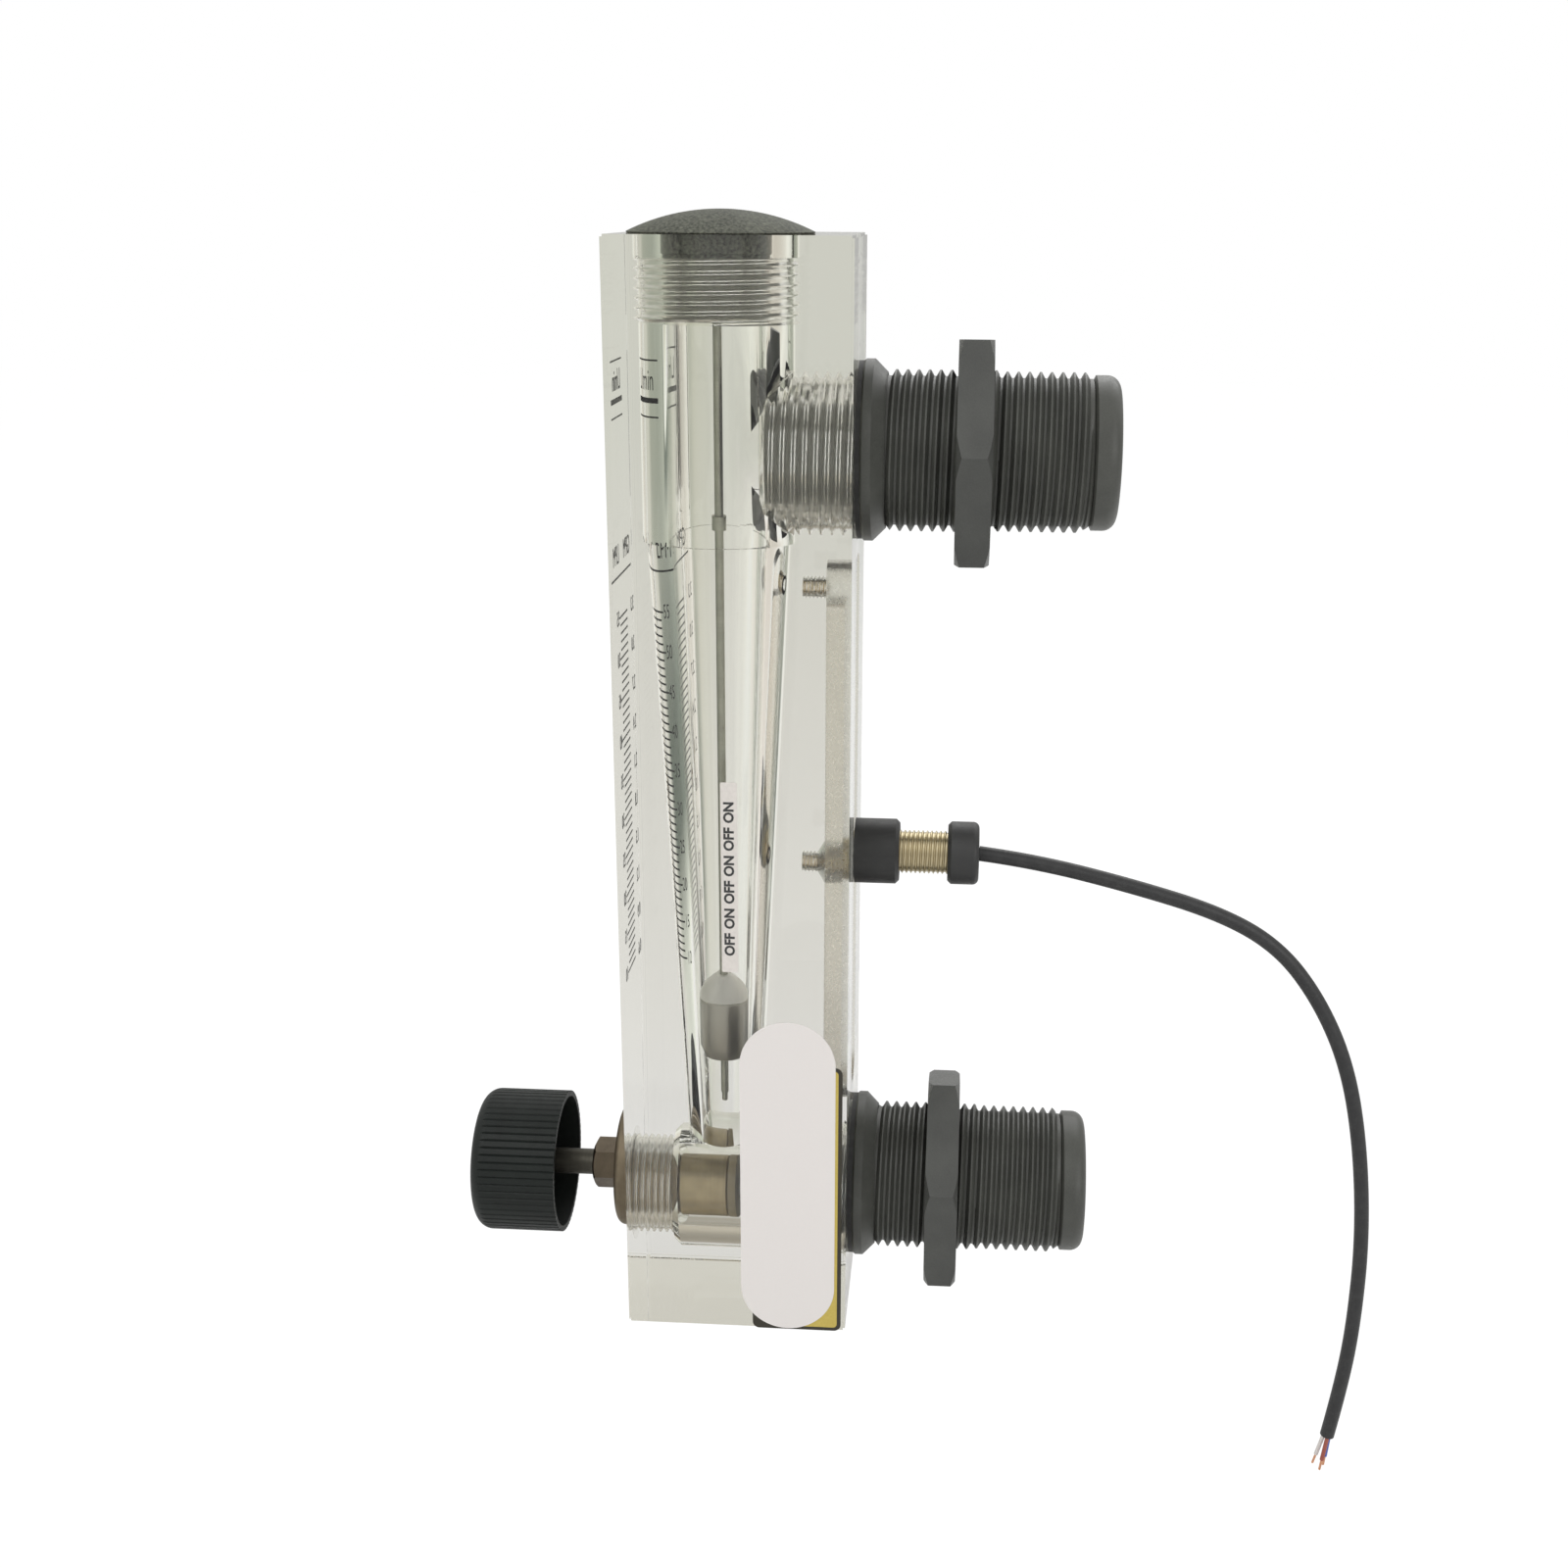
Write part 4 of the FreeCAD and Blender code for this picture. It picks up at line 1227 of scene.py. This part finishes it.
    def sensor_spot(self) -> bpy.types.Mesh:
        """Make the countersink of the sensor's insert in the channel's floor.

        Returns:
            The hollow's mesh.
        """
        low = AT.channel_y - self.spot_depth
        mouth = AT.channel_y + self.over
        lathe = Lathe(SMALL_COLUMNS).to(0, low).to(INSERT_RADIUS, low)
        lathe.to(self.spot_radius, AT.channel_y).to(self.spot_radius, mouth).to(0, mouth)
        mesh = lathe.mesh("sensor_spot", Lie.BACK, (0.0, AT.sensor_z))
        return cut_by(mesh, MILLED, 1, low - self.over, AT.channel_y)

    def insert_hole(self, height: float) -> bpy.types.Mesh:
        """Make the tapped hole of a brass insert.

        Args:
            height: its axis' height.

        Returns:
            The hollow's mesh.
        """
        end = AT.channel_y - INSERT_LENGTH
        mouth = AT.channel_y + self.over
        crest = INSERT_RADIUS + THREAD_GAP / 2
        lathe = Lathe(SMALL_COLUMNS).to(0, end).to(crest - INSERT_THREAD["depth"], end)
        lathe.thread(Thread(end, AT.channel_y, crest, origin=end, **INSERT_THREAD))
        lathe.to(crest, AT.channel_y).to(crest, mouth).to(0, mouth)
        mesh = lathe.mesh("insert_hole", Lie.BACK, (0.0, height))
        return cut_by(mesh, TAPPED, 1, end - self.over, AT.channel_y)


# The top plug, the guide rod and the float

@dataclass
class TopPlug:
    """The domed screw plug with its seal."""

    head_radius: float = 19.5
    head_gap: float = 0.05
    rim: float = 0.25
    rim_edge: float = 0.12
    dome: float = 4.5
    dome_start_degrees: float = 0.4
    dome_steps: int = 16
    columns: int = 128
    seal: float = 0.8
    recess_radius: float = 18.45
    neck_radius: float = 16.9
    neck: float = 4.6
    groove_depth: float = 0.6
    groove_floor: float = 0.5
    groove_end: float = 0.9
    depth: float = 17.0
    radius: float = 17.0
    lead_low: float = 0.9
    lead_high: float = 0.8
    hole_radius: float = 1.42
    hole_depth: float = 9.0

    def build(self) -> None:
        """Make the plug and dress its seal."""
        seat = AT.top_z + self.seal
        edge = AT.top_z + self.head_gap
        rim = edge + self.rim
        apex = rim + self.dome
        foot = AT.top_z - self.depth
        neck = AT.top_z - self.neck
        hole_end = foot + self.hole_depth
        groove = self.neck_radius - self.groove_depth
        dome_radius = (self.head_radius ** 2 + self.dome ** 2) / (2 * self.dome)
        half = math.degrees(math.asin(self.head_radius / dome_radius))
        lathe = Lathe(self.columns).to(0, hole_end).to(self.hole_radius, hole_end)
        lathe.to(self.hole_radius, foot).to(self.radius - PLUG_THREAD["depth"], foot)
        lathe.thread(Thread(foot, neck, self.radius, origin=neck, lead_start=self.lead_low,
                            lead_end=self.lead_high, **PLUG_THREAD))
        lathe.to(groove, neck).to(groove, neck + self.groove_floor)
        lathe.to(self.neck_radius, neck + self.groove_end).to(self.neck_radius, seat)
        lathe.to(self.recess_radius, seat).to(self.recess_radius, edge)
        lathe.to(self.head_radius - self.rim_edge, edge)
        lathe.to(self.head_radius, edge + self.rim_edge).to(self.head_radius, rim)
        lathe.arc((0.0, apex - dome_radius), dome_radius, 90 - half + self.dome_start_degrees,
                  90, self.dome_steps)
        put(lathe.mesh("screw_plug", Lie.UP, BORE), PLUG_GREY, "plug_plastic", "top_plug")
        dress_nodes(RUBBER, "top_plug_seal")


@dataclass
class GuideRod:
    """The float's guide rod with its two stops."""

    nodes: tuple = ("guide_rod", "rod_top_stop", "rod_low_stop")

    def build(self) -> None:
        """Dress the rod and its stops."""
        dress_nodes(ROD_STEEL, *self.nodes)


@dataclass
class FloatUnit:
    """The turned float: cup, conical cap and magnet."""

    low: float = 33.3
    radius: float = 8.7
    foot_radius: float = 7.2
    foot_taper: float = 3.4
    length: float = 14.3
    cone: float = 4.0
    tip_radius: float = 2.3
    tip_edge: float = 0.2
    tip_edge_height: float = 0.15
    bore: float = 1.45
    wall: float = 1.5
    floor: float = 5.7
    edge: float = 0.25
    plug: float = 3.0
    plug_gap: float = 0.03
    lip: float = 0.01

    def build(self) -> None:
        """Make the float's cup and cap, and dress its magnet."""
        top = self.low + self.length
        end = top + self.cone
        floor = self.low + self.floor
        pocket = self.radius - self.wall
        cup = Lathe().to(self.bore, floor).to(self.bore, self.low)
        cup.to(self.foot_radius - self.edge, self.low)
        cup.to(self.foot_radius, self.low + self.edge)
        cup.to(self.radius, self.low + self.foot_taper)
        cup.to(self.radius, top - self.edge).to(self.radius - self.edge, top)
        cup.to(pocket, top).to(pocket, floor)
        put(cup.mesh("float_cup", Lie.UP, BORE, closed=True), FLOAT_STEEL, "float_steel",
            "float_body", body=Body.FLOAT)
        inner = pocket - self.plug_gap
        cap = Lathe().to(self.bore, top - self.plug).to(inner, top - self.plug)
        cap.to(inner, top).to(self.radius - self.edge, top + self.lip)
        cap.to(self.radius, top + self.edge)
        cap.to(self.tip_radius + self.tip_edge, end - self.tip_edge_height)
        cap.to(self.tip_radius, end).to(self.bore, end)
        put(cap.mesh("float_cone", Lie.UP, BORE, closed=True), CONE_STEEL, "float_steel",
            "float_cap", body=Body.FLOAT)
        dress_nodes(MAGNET, "float_magnet")


# Ports

@dataclass
class PipePorts:
    """The two threaded nipples with their seals and lock nuts."""

    bore: float = 9.5
    bore_edge: float = 0.8
    shank: float = 16.85
    pipe: float = 16.62
    engagement: float = 18.5
    pipe_start: float = 29.1
    thread_end: float = 48.6
    length: float = 54.3
    nose_radius: float = 16.1
    nose_round: float = 2.8
    flange_radius: float = 19.0
    flange: float = 2.2
    flange_edge: float = 0.4
    seal: float = 1.0
    groove: float = 1.2
    groove_side: float = 0.6
    inner_lead: float = 1.2
    shank_lead: float = 1.0
    pipe_lead: float = 1.6
    run_out: float = 0.4

    def build(self) -> None:
        """Make both nipples, and dress the seals and nuts."""
        for name, node, height in (("upper_nipple", "outlet_nipple", AT.outlet_z),
                                   ("lower_nipple", "inlet_nipple", 0.0)):
            put(self.nipple(name, height), NIPPLE_GREY, "nipple_plastic", node)
        dress_nodes(NUT_GREY, "outlet_lock_nut", "inlet_lock_nut")
        dress_nodes(RUBBER, "outlet_seal", "inlet_seal")

    def nipple(self, name: str, height: float) -> bpy.types.Mesh:
        """Make a nipple: threaded shank, bevelled flange, pipe thread and round nose.

        Args:
            name: the mesh's name.
            height: its axis' height.

        Returns:
            The mesh.
        """
        back = AT.back_y
        inner = back - self.engagement
        seat = back + self.seal
        bevel = seat + self.flange
        bevel_end = bevel + self.flange_radius - self.shank
        pipe = back + self.pipe_start
        nose = back + self.thread_end
        end = back + self.length
        depth = PORT_THREAD["depth"]
        start = bevel_end + depth * self.run_out
        lathe = Lathe().to(self.bore, end - self.bore_edge).to(self.bore, inner)
        lathe.to(self.shank - depth, inner)
        lathe.thread(Thread(inner, back, self.shank, origin=back, lead_start=self.inner_lead,
                            **PORT_THREAD))
        lathe.to(self.shank - depth, back).to(self.shank - depth, seat)
        lathe.to(self.flange_radius - self.flange_edge, seat)
        lathe.to(self.flange_radius, seat + self.flange_edge).to(self.flange_radius, bevel)
        lathe.to(self.shank - depth * self.run_out, start)
        lathe.thread(Thread(start, pipe, self.shank, origin=back, lead_start=self.shank_lead,
                            **PORT_THREAD))
        lathe.thread(Thread(pipe, nose, self.pipe, origin=back, lead_end=self.pipe_lead,
                            **PORT_THREAD))
        lathe.to(self.nose_radius - self.groove, nose)
        lathe.to(self.nose_radius, nose + self.groove_side)
        lathe.to(self.nose_radius, end - self.nose_round)
        lathe.arc((self.nose_radius - self.nose_round, end - self.nose_round), self.nose_round,
                  0, 90)
        lathe.to(self.bore + self.bore_edge, end)
        return lathe.mesh(name, Lie.BACK, (0.0, height), closed=True)


# The control valve

@dataclass
class ControlValve:
    """The bonnet, gland, stem and disc of the control valve, and its knob."""

    front: float = -91.7
    end: float = -77.3
    seal: float = 0.8
    seat_edge: float = 0.3
    flange_radius: float = 14.35
    flange_round: float = 1.8
    round_steps: int = 10
    radius: float = 12.0
    thread_lead: float = 0.8
    packing_radius: float = 4.6
    packing_depth: float = 2.4
    web: float = 0.8
    stem_hole: float = 3.05
    stem_thread_hole: float = 5.05

    def build(self) -> None:
        """Make the bonnet and dress the rest of the valve."""
        bonnet = link("threaded_bonnet", self.bonnet())
        for part in (BONNET_BRASS, SHADED_FLANGE_BRASS):
            bonnet.data.materials.append(part.material())
        # Faces in front of the seat, the flange outside the block, take the darker copy of the
        # brass: painted shade.
        for face in bonnet.data.polygons:
            face.material_index = int(face.center.y < (AT.front_y - self.seal) * MM)
        settle(bonnet, "valve_metal", "valve_bonnet")
        dress_nodes(GLAND_BRASS, "gland_nut")
        dress_nodes(STEM_STEEL, "valve_stem")
        dress_nodes(DISC_BRASS, "valve_disc")
        dress_nodes(FIBRE, "bonnet_seal")
        dress_nodes(RUBBER, "stem_packing")
        dress_nodes(DISC_RUBBER, "disc_seal")
        dress_nodes(SCREW_STEEL, "seal_screw", "swivel_pin")
        dress_nodes(KNOB_BLACK, "control_knob")

    def bonnet(self) -> bpy.types.Mesh:
        """Make the bonnet: round flange, thread and the stem's holes.

        Returns:
            The mesh.
        """
        seat = AT.front_y - self.seal
        floor = self.front + self.packing_depth
        web = floor + self.web
        centre = (self.flange_radius - self.flange_round, self.front + self.flange_round)
        lathe = Lathe().to(self.packing_radius, self.front)
        lathe.arc(centre, self.flange_round, -90, 0, self.round_steps)
        lathe.to(self.flange_radius, seat - self.seat_edge)
        lathe.to(self.flange_radius - self.seat_edge, seat)
        lathe.to(self.radius, seat).to(self.radius, AT.front_y)
        lathe.thread(Thread(AT.front_y, self.end, self.radius, origin=AT.front_y,
                            lead_end=self.thread_lead, **BONNET_THREAD))
        lathe.to(self.stem_thread_hole, self.end).to(self.stem_thread_hole, web)
        lathe.to(self.stem_hole, web).to(self.stem_hole, floor).to(self.packing_radius, floor)
        return lathe.mesh("threaded_bonnet", Lie.BACK, closed=True)


# The alarm sensor

@dataclass
class AlarmSensor:
    """The threaded barrel with its black nut and cap, the two inserts and the channel's strip."""

    seat: float = -42.6
    radius: float = 4.85
    foot_edge: float = 0.5
    stud_radius: float = 1.22
    stud_length: float = 4.7
    length: float = 29.6
    pocket_radius: float = 3.2
    pocket_low: float = 4.0
    thread_depth: float = 0.42
    thread_pitch: float = 1.0
    thread_lead: float = 0.6
    insert_bore: float = 1.25

    def build(self) -> None:
        """Make the barrel and the inserts, and dress the rest of the sensor."""
        end = self.seat + self.length
        stud = self.seat - self.stud_length
        pocket = AT.back_y + self.pocket_low
        lathe = Lathe().to(0, stud).to(self.stud_radius, stud).to(self.stud_radius, self.seat)
        lathe.to(self.radius - self.foot_edge, self.seat)
        lathe.thread(Thread(self.seat, end, self.radius, self.thread_depth, self.thread_pitch,
                            lead_start=self.thread_lead, lead_end=self.thread_lead))
        lathe.to(self.pocket_radius, end).to(self.pocket_radius, pocket).to(0, pocket)
        put(lathe.mesh("threaded_barrel", Lie.BACK, (0.0, AT.sensor_z)), SENSOR_BRASS,
            "sensor_brass", "sensor_barrel")
        for name, node, height in (("insert_for_sensor", "insert_lower", AT.sensor_z),
                                   ("insert_spare", "insert_upper", AT.spare_z)):
            put(self.insert(name, height), INSERT_BRASS, "insert_brass", node)
        dress_nodes(SENSOR_BLACK, "sensor_nut", "sensor_cap")
        dress_nodes(POTTING, "switch_potting")
        dress_nodes(REED_GLASS, "reed_switch")
        dress_nodes(STRIP_BEIGE, "channel_strip")

    def insert(self, name: str, height: float) -> bpy.types.Mesh:
        """Make a brass insert with an outer thread.

        Args:
            name: the mesh's name.
            height: its axis' height.

        Returns:
            The mesh.
        """
        low = AT.channel_y - INSERT_LENGTH
        root = INSERT_RADIUS - INSERT_THREAD["depth"]
        lathe = Lathe(SMALL_COLUMNS).to(self.insert_bore, AT.channel_y).to(self.insert_bore, low)
        lathe.to(root, low)
        lathe.thread(Thread(low, AT.channel_y, INSERT_RADIUS, origin=low, **INSERT_THREAD))
        lathe.to(root, AT.channel_y)
        return lathe.mesh(name, Lie.BACK, (0.0, height), closed=True)


# Print and labels

@dataclass
class ScalePrint:
    """The printed scale on the front face: ticks, plain numbers, unit words and lines.

    Ticks and lines run from their start to their end in X. A line is (start, end, height,
    thickness), and a word (text, middle, height, size).
    """

    ink: float = 0.03
    first_z: float = 54.4
    last_z: float = 135.2
    ticks: int = 46
    ticks_a_number: int = 5
    first_numbers: Pair = (10, 0.6)
    number_steps: Pair = (5, 0.3)
    tick_end: float = -8.5
    short_start: float = 4.0
    long_start: float = 6.0
    line: float = 0.45
    number_size: float = 3.4
    litres_x: float = 8.5
    gallons_x: float = -18.0
    lines: tuple = ((18.0, -17.0, 144.2, 0.45), (11.0, -8.0, 188.8, 0.35),
                    (11.0, -8.0, 180.6, 1.1), (11.0, -8.0, 177.2, 0.35))
    words: tuple = (("LPM", 9.5, 148.8, 4.4), ("GPM", -9.5, 148.8, 4.4),
                    ("L/min", 1.5, 184.6, 4.6))

    def build(self) -> None:
        """Make all the scale's ink in one piece."""
        meshes = []
        pitch = (self.last_z - self.first_z) / (self.ticks - 1)
        for index in range(self.ticks):
            height = self.first_z + index * pitch
            count, rest = divmod(index, self.ticks_a_number)
            start = self.short_start if rest else self.long_start
            meshes.append(self.bar(start, self.tick_end, height, self.line))
            if not rest:
                litres, gallons = (first + step * count for first, step in
                                   zip(self.first_numbers, self.number_steps))
                for text, middle in ((str(litres), self.litres_x),
                                     ("%.1f" % gallons, self.gallons_x)):
                    meshes.append(self.word(text, middle, height, self.number_size))
        meshes += [self.bar(*line) for line in self.lines]
        meshes += [self.word(*word) for word in self.words]
        put(joined("scale_print", meshes), INK_BLACK, "seal_rubber")

    def bar(self, start: float, end: float, height: float, thick: float) -> bpy.types.Mesh:
        """Make a printed bar across the face.

        Args:
            start: its end towards +X.
            end: its end towards -X.
            height: the height of its middle line.
            thick: its thickness.

        Returns:
            The mesh.
        """
        low, high = height - thick / 2, height + thick / 2
        return prism("bar", [(end, low), (start, low), (start, high), (end, high)],
                     AT.front_y - self.ink, AT.front_y + self.ink, "xz")

    def word(self, text: str, middle: float, height: float, size: float) -> bpy.types.Mesh:
        """Make printed characters on the front face, read from the front."""
        spot = Matrix.Translation(Vector((middle, AT.front_y, height)) * MM)
        return printed(text, size, self.ink, spot @ quarter("X"))


@dataclass
class SideLabels:
    """The milky strip with plain switch words, and the bare label of the side face.

    A sticker is its name, finish, record's slot, lowest and highest corner as (y, z), corner
    radius, and how far from the side face its back and its front lie.
    """

    face_x: float = 24.0
    strip: tuple = ("side_strip", STRIP_MILKY, "lead_white", (-64.2, 60.0), (-60.6, 103.0), 0.3,
                    -0.02, 0.05)
    label: tuple = (
        ("label_border", LABEL_BLACK, "seal_rubber", (-58.0, -27.95), (-37.75, 38.0), 1.6,
         -0.02, 0.1),
        ("label_field", LABEL_YELLOW, "lead_white", (-54.2, -27.1), (-38.65, 37.2), 0.9,
         0.1, 0.13),
        ("label_blank", LABEL_PALE, "lead_white", (-60.6, -27.7), (-39.3, 48.6), 10.6,
         0.13, 0.2),
    )
    words: tuple = ("OFF", "ON") * 3
    words_y: float = -62.35
    words_z: float = 66.4
    words_pitch: float = 6.0
    words_size: float = 2.2
    words_bold: float = 0.11
    words_over: float = 0.05
    corner_steps: int = 16
    ink: float = 0.03

    def build(self) -> None:
        """Make the strip, its words and the label's three layers."""
        self.sticker(*self.strip)
        letters = []
        for index, text in enumerate(self.words):
            spot = Vector((self.face_x + self.words_over, self.words_y,
                           self.words_z + self.words_pitch * index)) * MM
            stand = Matrix.Translation(spot) @ quarter("X") @ quarter("Y") @ quarter("Z")
            letters.append(printed(text, self.words_size, self.ink, stand, self.words_bold))
        put(joined("strip_words", letters), INK_BLACK, "seal_rubber")
        for layer in self.label:
            self.sticker(*layer)

    def sticker(self, name: str, finish: Ink, slot: str, low: Pair, high: Pair, radius: float,
                start: float, end: float) -> None:
        """Make one thin sticker."""
        outline = rounded_outline(low, high, radius, self.corner_steps)
        put(prism(name, outline, self.face_x + start, self.face_x + end, "yz"), finish, slot)


# The studio

@dataclass
class Studio:
    """A plain pale floor, soft lamps and a pale surround.

    sky colours what glossy surfaces mirror, by the direction in Z, and soft_light what falls on
    matt ones. across and upward colour what is seen through the clear block, by the direction
    in Y and in Z, shade darkens it low ahead of the front face, and room brightens it towards
    the camera's side, up to brightest. A lamp is its name, place, size and power.
    """

    floor_z: float = -0.0785
    floor_size: float = 3.0
    floor_colour: Colour = (0.9, 0.9, 0.9)
    floor_glow: float = 1.11
    floor_glow_share: float = 0.8
    sky: tuple = ((0.0, (0.42, 0.42, 0.41)), (0.4, (0.62, 0.62, 0.6)), (0.7, (0.9, 0.9, 0.88)),
                  (1.0, (1.05, 1.05, 1.03)))
    sky_span: Pair = (-0.6, 0.9)
    soft_light: Colour = (0.62, 0.62, 0.61)
    across: tuple = (
        (0.0, (0.55, 0.57, 0.48)), (0.1, (0.62, 0.63, 0.53)), (0.17, (0.62, 0.61, 0.53)),
        (0.3, (0.64, 0.63, 0.56)), (0.43, (0.665, 0.655, 0.61)), (0.58, (0.69, 0.68, 0.635)),
        (0.72, (0.79, 0.78, 0.725)), (0.83, (0.95, 0.935, 0.87)), (1.0, (0.66, 0.61, 0.54)),
    )
    upward: tuple = (
        (0.0, (0.44, 0.41, 0.35)), (0.15, (0.52, 0.48, 0.42)), (0.22, (0.93, 0.93, 0.93)),
        (0.265, (1.13, 1.13, 1.19)), (0.3, (1.08, 1.075, 1.09)), (0.39, (0.97, 0.965, 0.95)),
        (0.45, (0.92, 0.935, 0.9)), (0.65, (0.93, 0.92, 0.88)), (1.0, (1.0, 0.99, 0.95)),
    )
    shade: Colour = (0.13, 0.15, 0.12)
    shade_ahead: Pair = (-0.62, -0.78)
    shade_low: Pair = (-0.44, -0.385)
    shade_high: tuple = (-0.34, -0.22, 1.0, 0.45)
    room: float = 1.55
    room_span: Pair = (0.0, 0.4)
    brightest: Colour = (0.86, 0.855, 0.81)
    lamps: tuple = (("key", (0.9, -0.7, 1.1), 0.9, 7.0), ("fill", (0.9, 0.9, 0.5), 0.9, 4.0),
                    ("back", (-0.9, 0.2, 0.9), 0.9, 4.0))
    lamps_aim: Point = (0.0, -0.03, 0.09)
    bounces: tuple = (("max_bounces", 24), ("transmission_bounces", 20), ("glossy_bounces", 16),
                      ("diffuse_bounces", 4), ("transparent_max_bounces", 16),
                      ("caustics_reflective", True), ("caustics_refractive", True))

    def build(self) -> None:
        """Make the floor, the surround and the lamps, and set the view."""
        scene = bpy.context.scene
        scene.view_settings.view_transform = "Standard"
        for name, value in self.bounces:
            setattr(scene.cycles, name, value)
        self.floor()
        self.surround(scene)
        for lamp in self.lamps:
            self.lamp(*lamp)

    def floor(self) -> None:
        """Make the floor, white to the camera, with the object's soft shadow."""
        mesh = bpy.data.meshes.new("floor")
        half = self.floor_size
        corners = [(-half, -half), (half, -half), (half, half), (-half, half)]
        mesh.from_pydata([(x, y, self.floor_z) for x, y in corners], [], [(0, 1, 2, 3)])
        floor = link("floor", mesh)
        floor.visible_transmission = False
        material, s = new_material("floor_pale")
        lit = s.add("ShaderNodeBsdfDiffuse", {}, {"Color": (*self.floor_colour, 1.0)})
        glow = s.add("ShaderNodeEmission", {}, {"Color": (1.0, 1.0, 1.0, 1.0),
                                                "Strength": self.floor_glow})
        mixed = s.add("ShaderNodeMixShader", {}, {0: s.ray("Camera") * self.floor_glow_share,
                                                  1: lit, 2: glow})
        s.add("ShaderNodeOutputMaterial", {}, {"Surface": mixed})
        mesh.materials.append(material)

    def surround(self, scene: bpy.types.Scene) -> None:
        """Make the surround: white behind, soft grey through the clear block.

        Args:
            scene: the scene.
        """
        world = bpy.data.worlds.new("surround")
        scene.world = world
        world.use_nodes = True
        s = Shader(world.node_tree)
        ahead = s.add("ShaderNodeTexCoord", output="Generated")
        x, y, z = (s.part(ahead, axis) for axis in "XYZ")
        sky = s.ramp(s.ease(z, *self.sky_span), self.sky)
        clear = s.vector("MULTIPLY", s.ramp(s.ease(y, -1.0, 1.0), self.across),
                         s.ramp(s.ease(z, -1.0, 1.0), self.upward))
        shaded = s.ease(z, *self.shade_low) * s.ease(z, *self.shade_high)
        clear = s.blend(s.ease(y, *self.shade_ahead) * shaded, clear, self.shade)
        clear = s.add("ShaderNodeVectorMath", {"operation": "SCALE"},
                      {0: clear, "Scale": s.ease(x, *self.room_span, 1.0, self.room)})
        clear = s.vector("MINIMUM", clear, self.brightest)
        colour = s.blend(s.ray("Glossy"), self.soft_light, sky)
        colour = s.blend(s.ray("Transmission"), colour, clear)
        colour = s.blend(s.ray("Camera"), colour, (1.0, 1.0, 1.0))
        back = s.add("ShaderNodeBackground", {}, {"Color": colour, "Strength": 1.0})
        s.add("ShaderNodeOutputWorld", {}, {"Surface": back})

    def lamp(self, name: str, place: Point, size: float, watts: float) -> None:
        """Hang a soft square lamp that looks at the meter and isn't seen through the block.

        Args:
            name: its name.
            place: where it hangs, in metres.
            size: its side, in metres.
            watts: its power.
        """
        light = bpy.data.lights.new(name, "AREA")
        light.size = size
        light.energy = watts
        holder = link(name, light)
        holder.location = place
        aim = Vector(self.lamps_aim) - Vector(place)
        holder.rotation_euler = aim.to_track_quat("-Z", "Y").to_euler()
        holder.visible_transmission = False


def main() -> None:
    """Build every sub-assembly in order."""
    logging.basicConfig(level=logging.INFO, format="%(name)s: %(message)s")
    for part in (PhotoCamera(), AlarmCable(), ClearBlock(), TopPlug(), GuideRod(), FloatUnit(),
                 PipePorts(), ControlValve(), AlarmSensor(), ScalePrint(), SideLabels(),
                 Studio()):
        part.build()
        LOG.info("%s done", type(part).__name__)


if __name__ == "__main__":
    main()
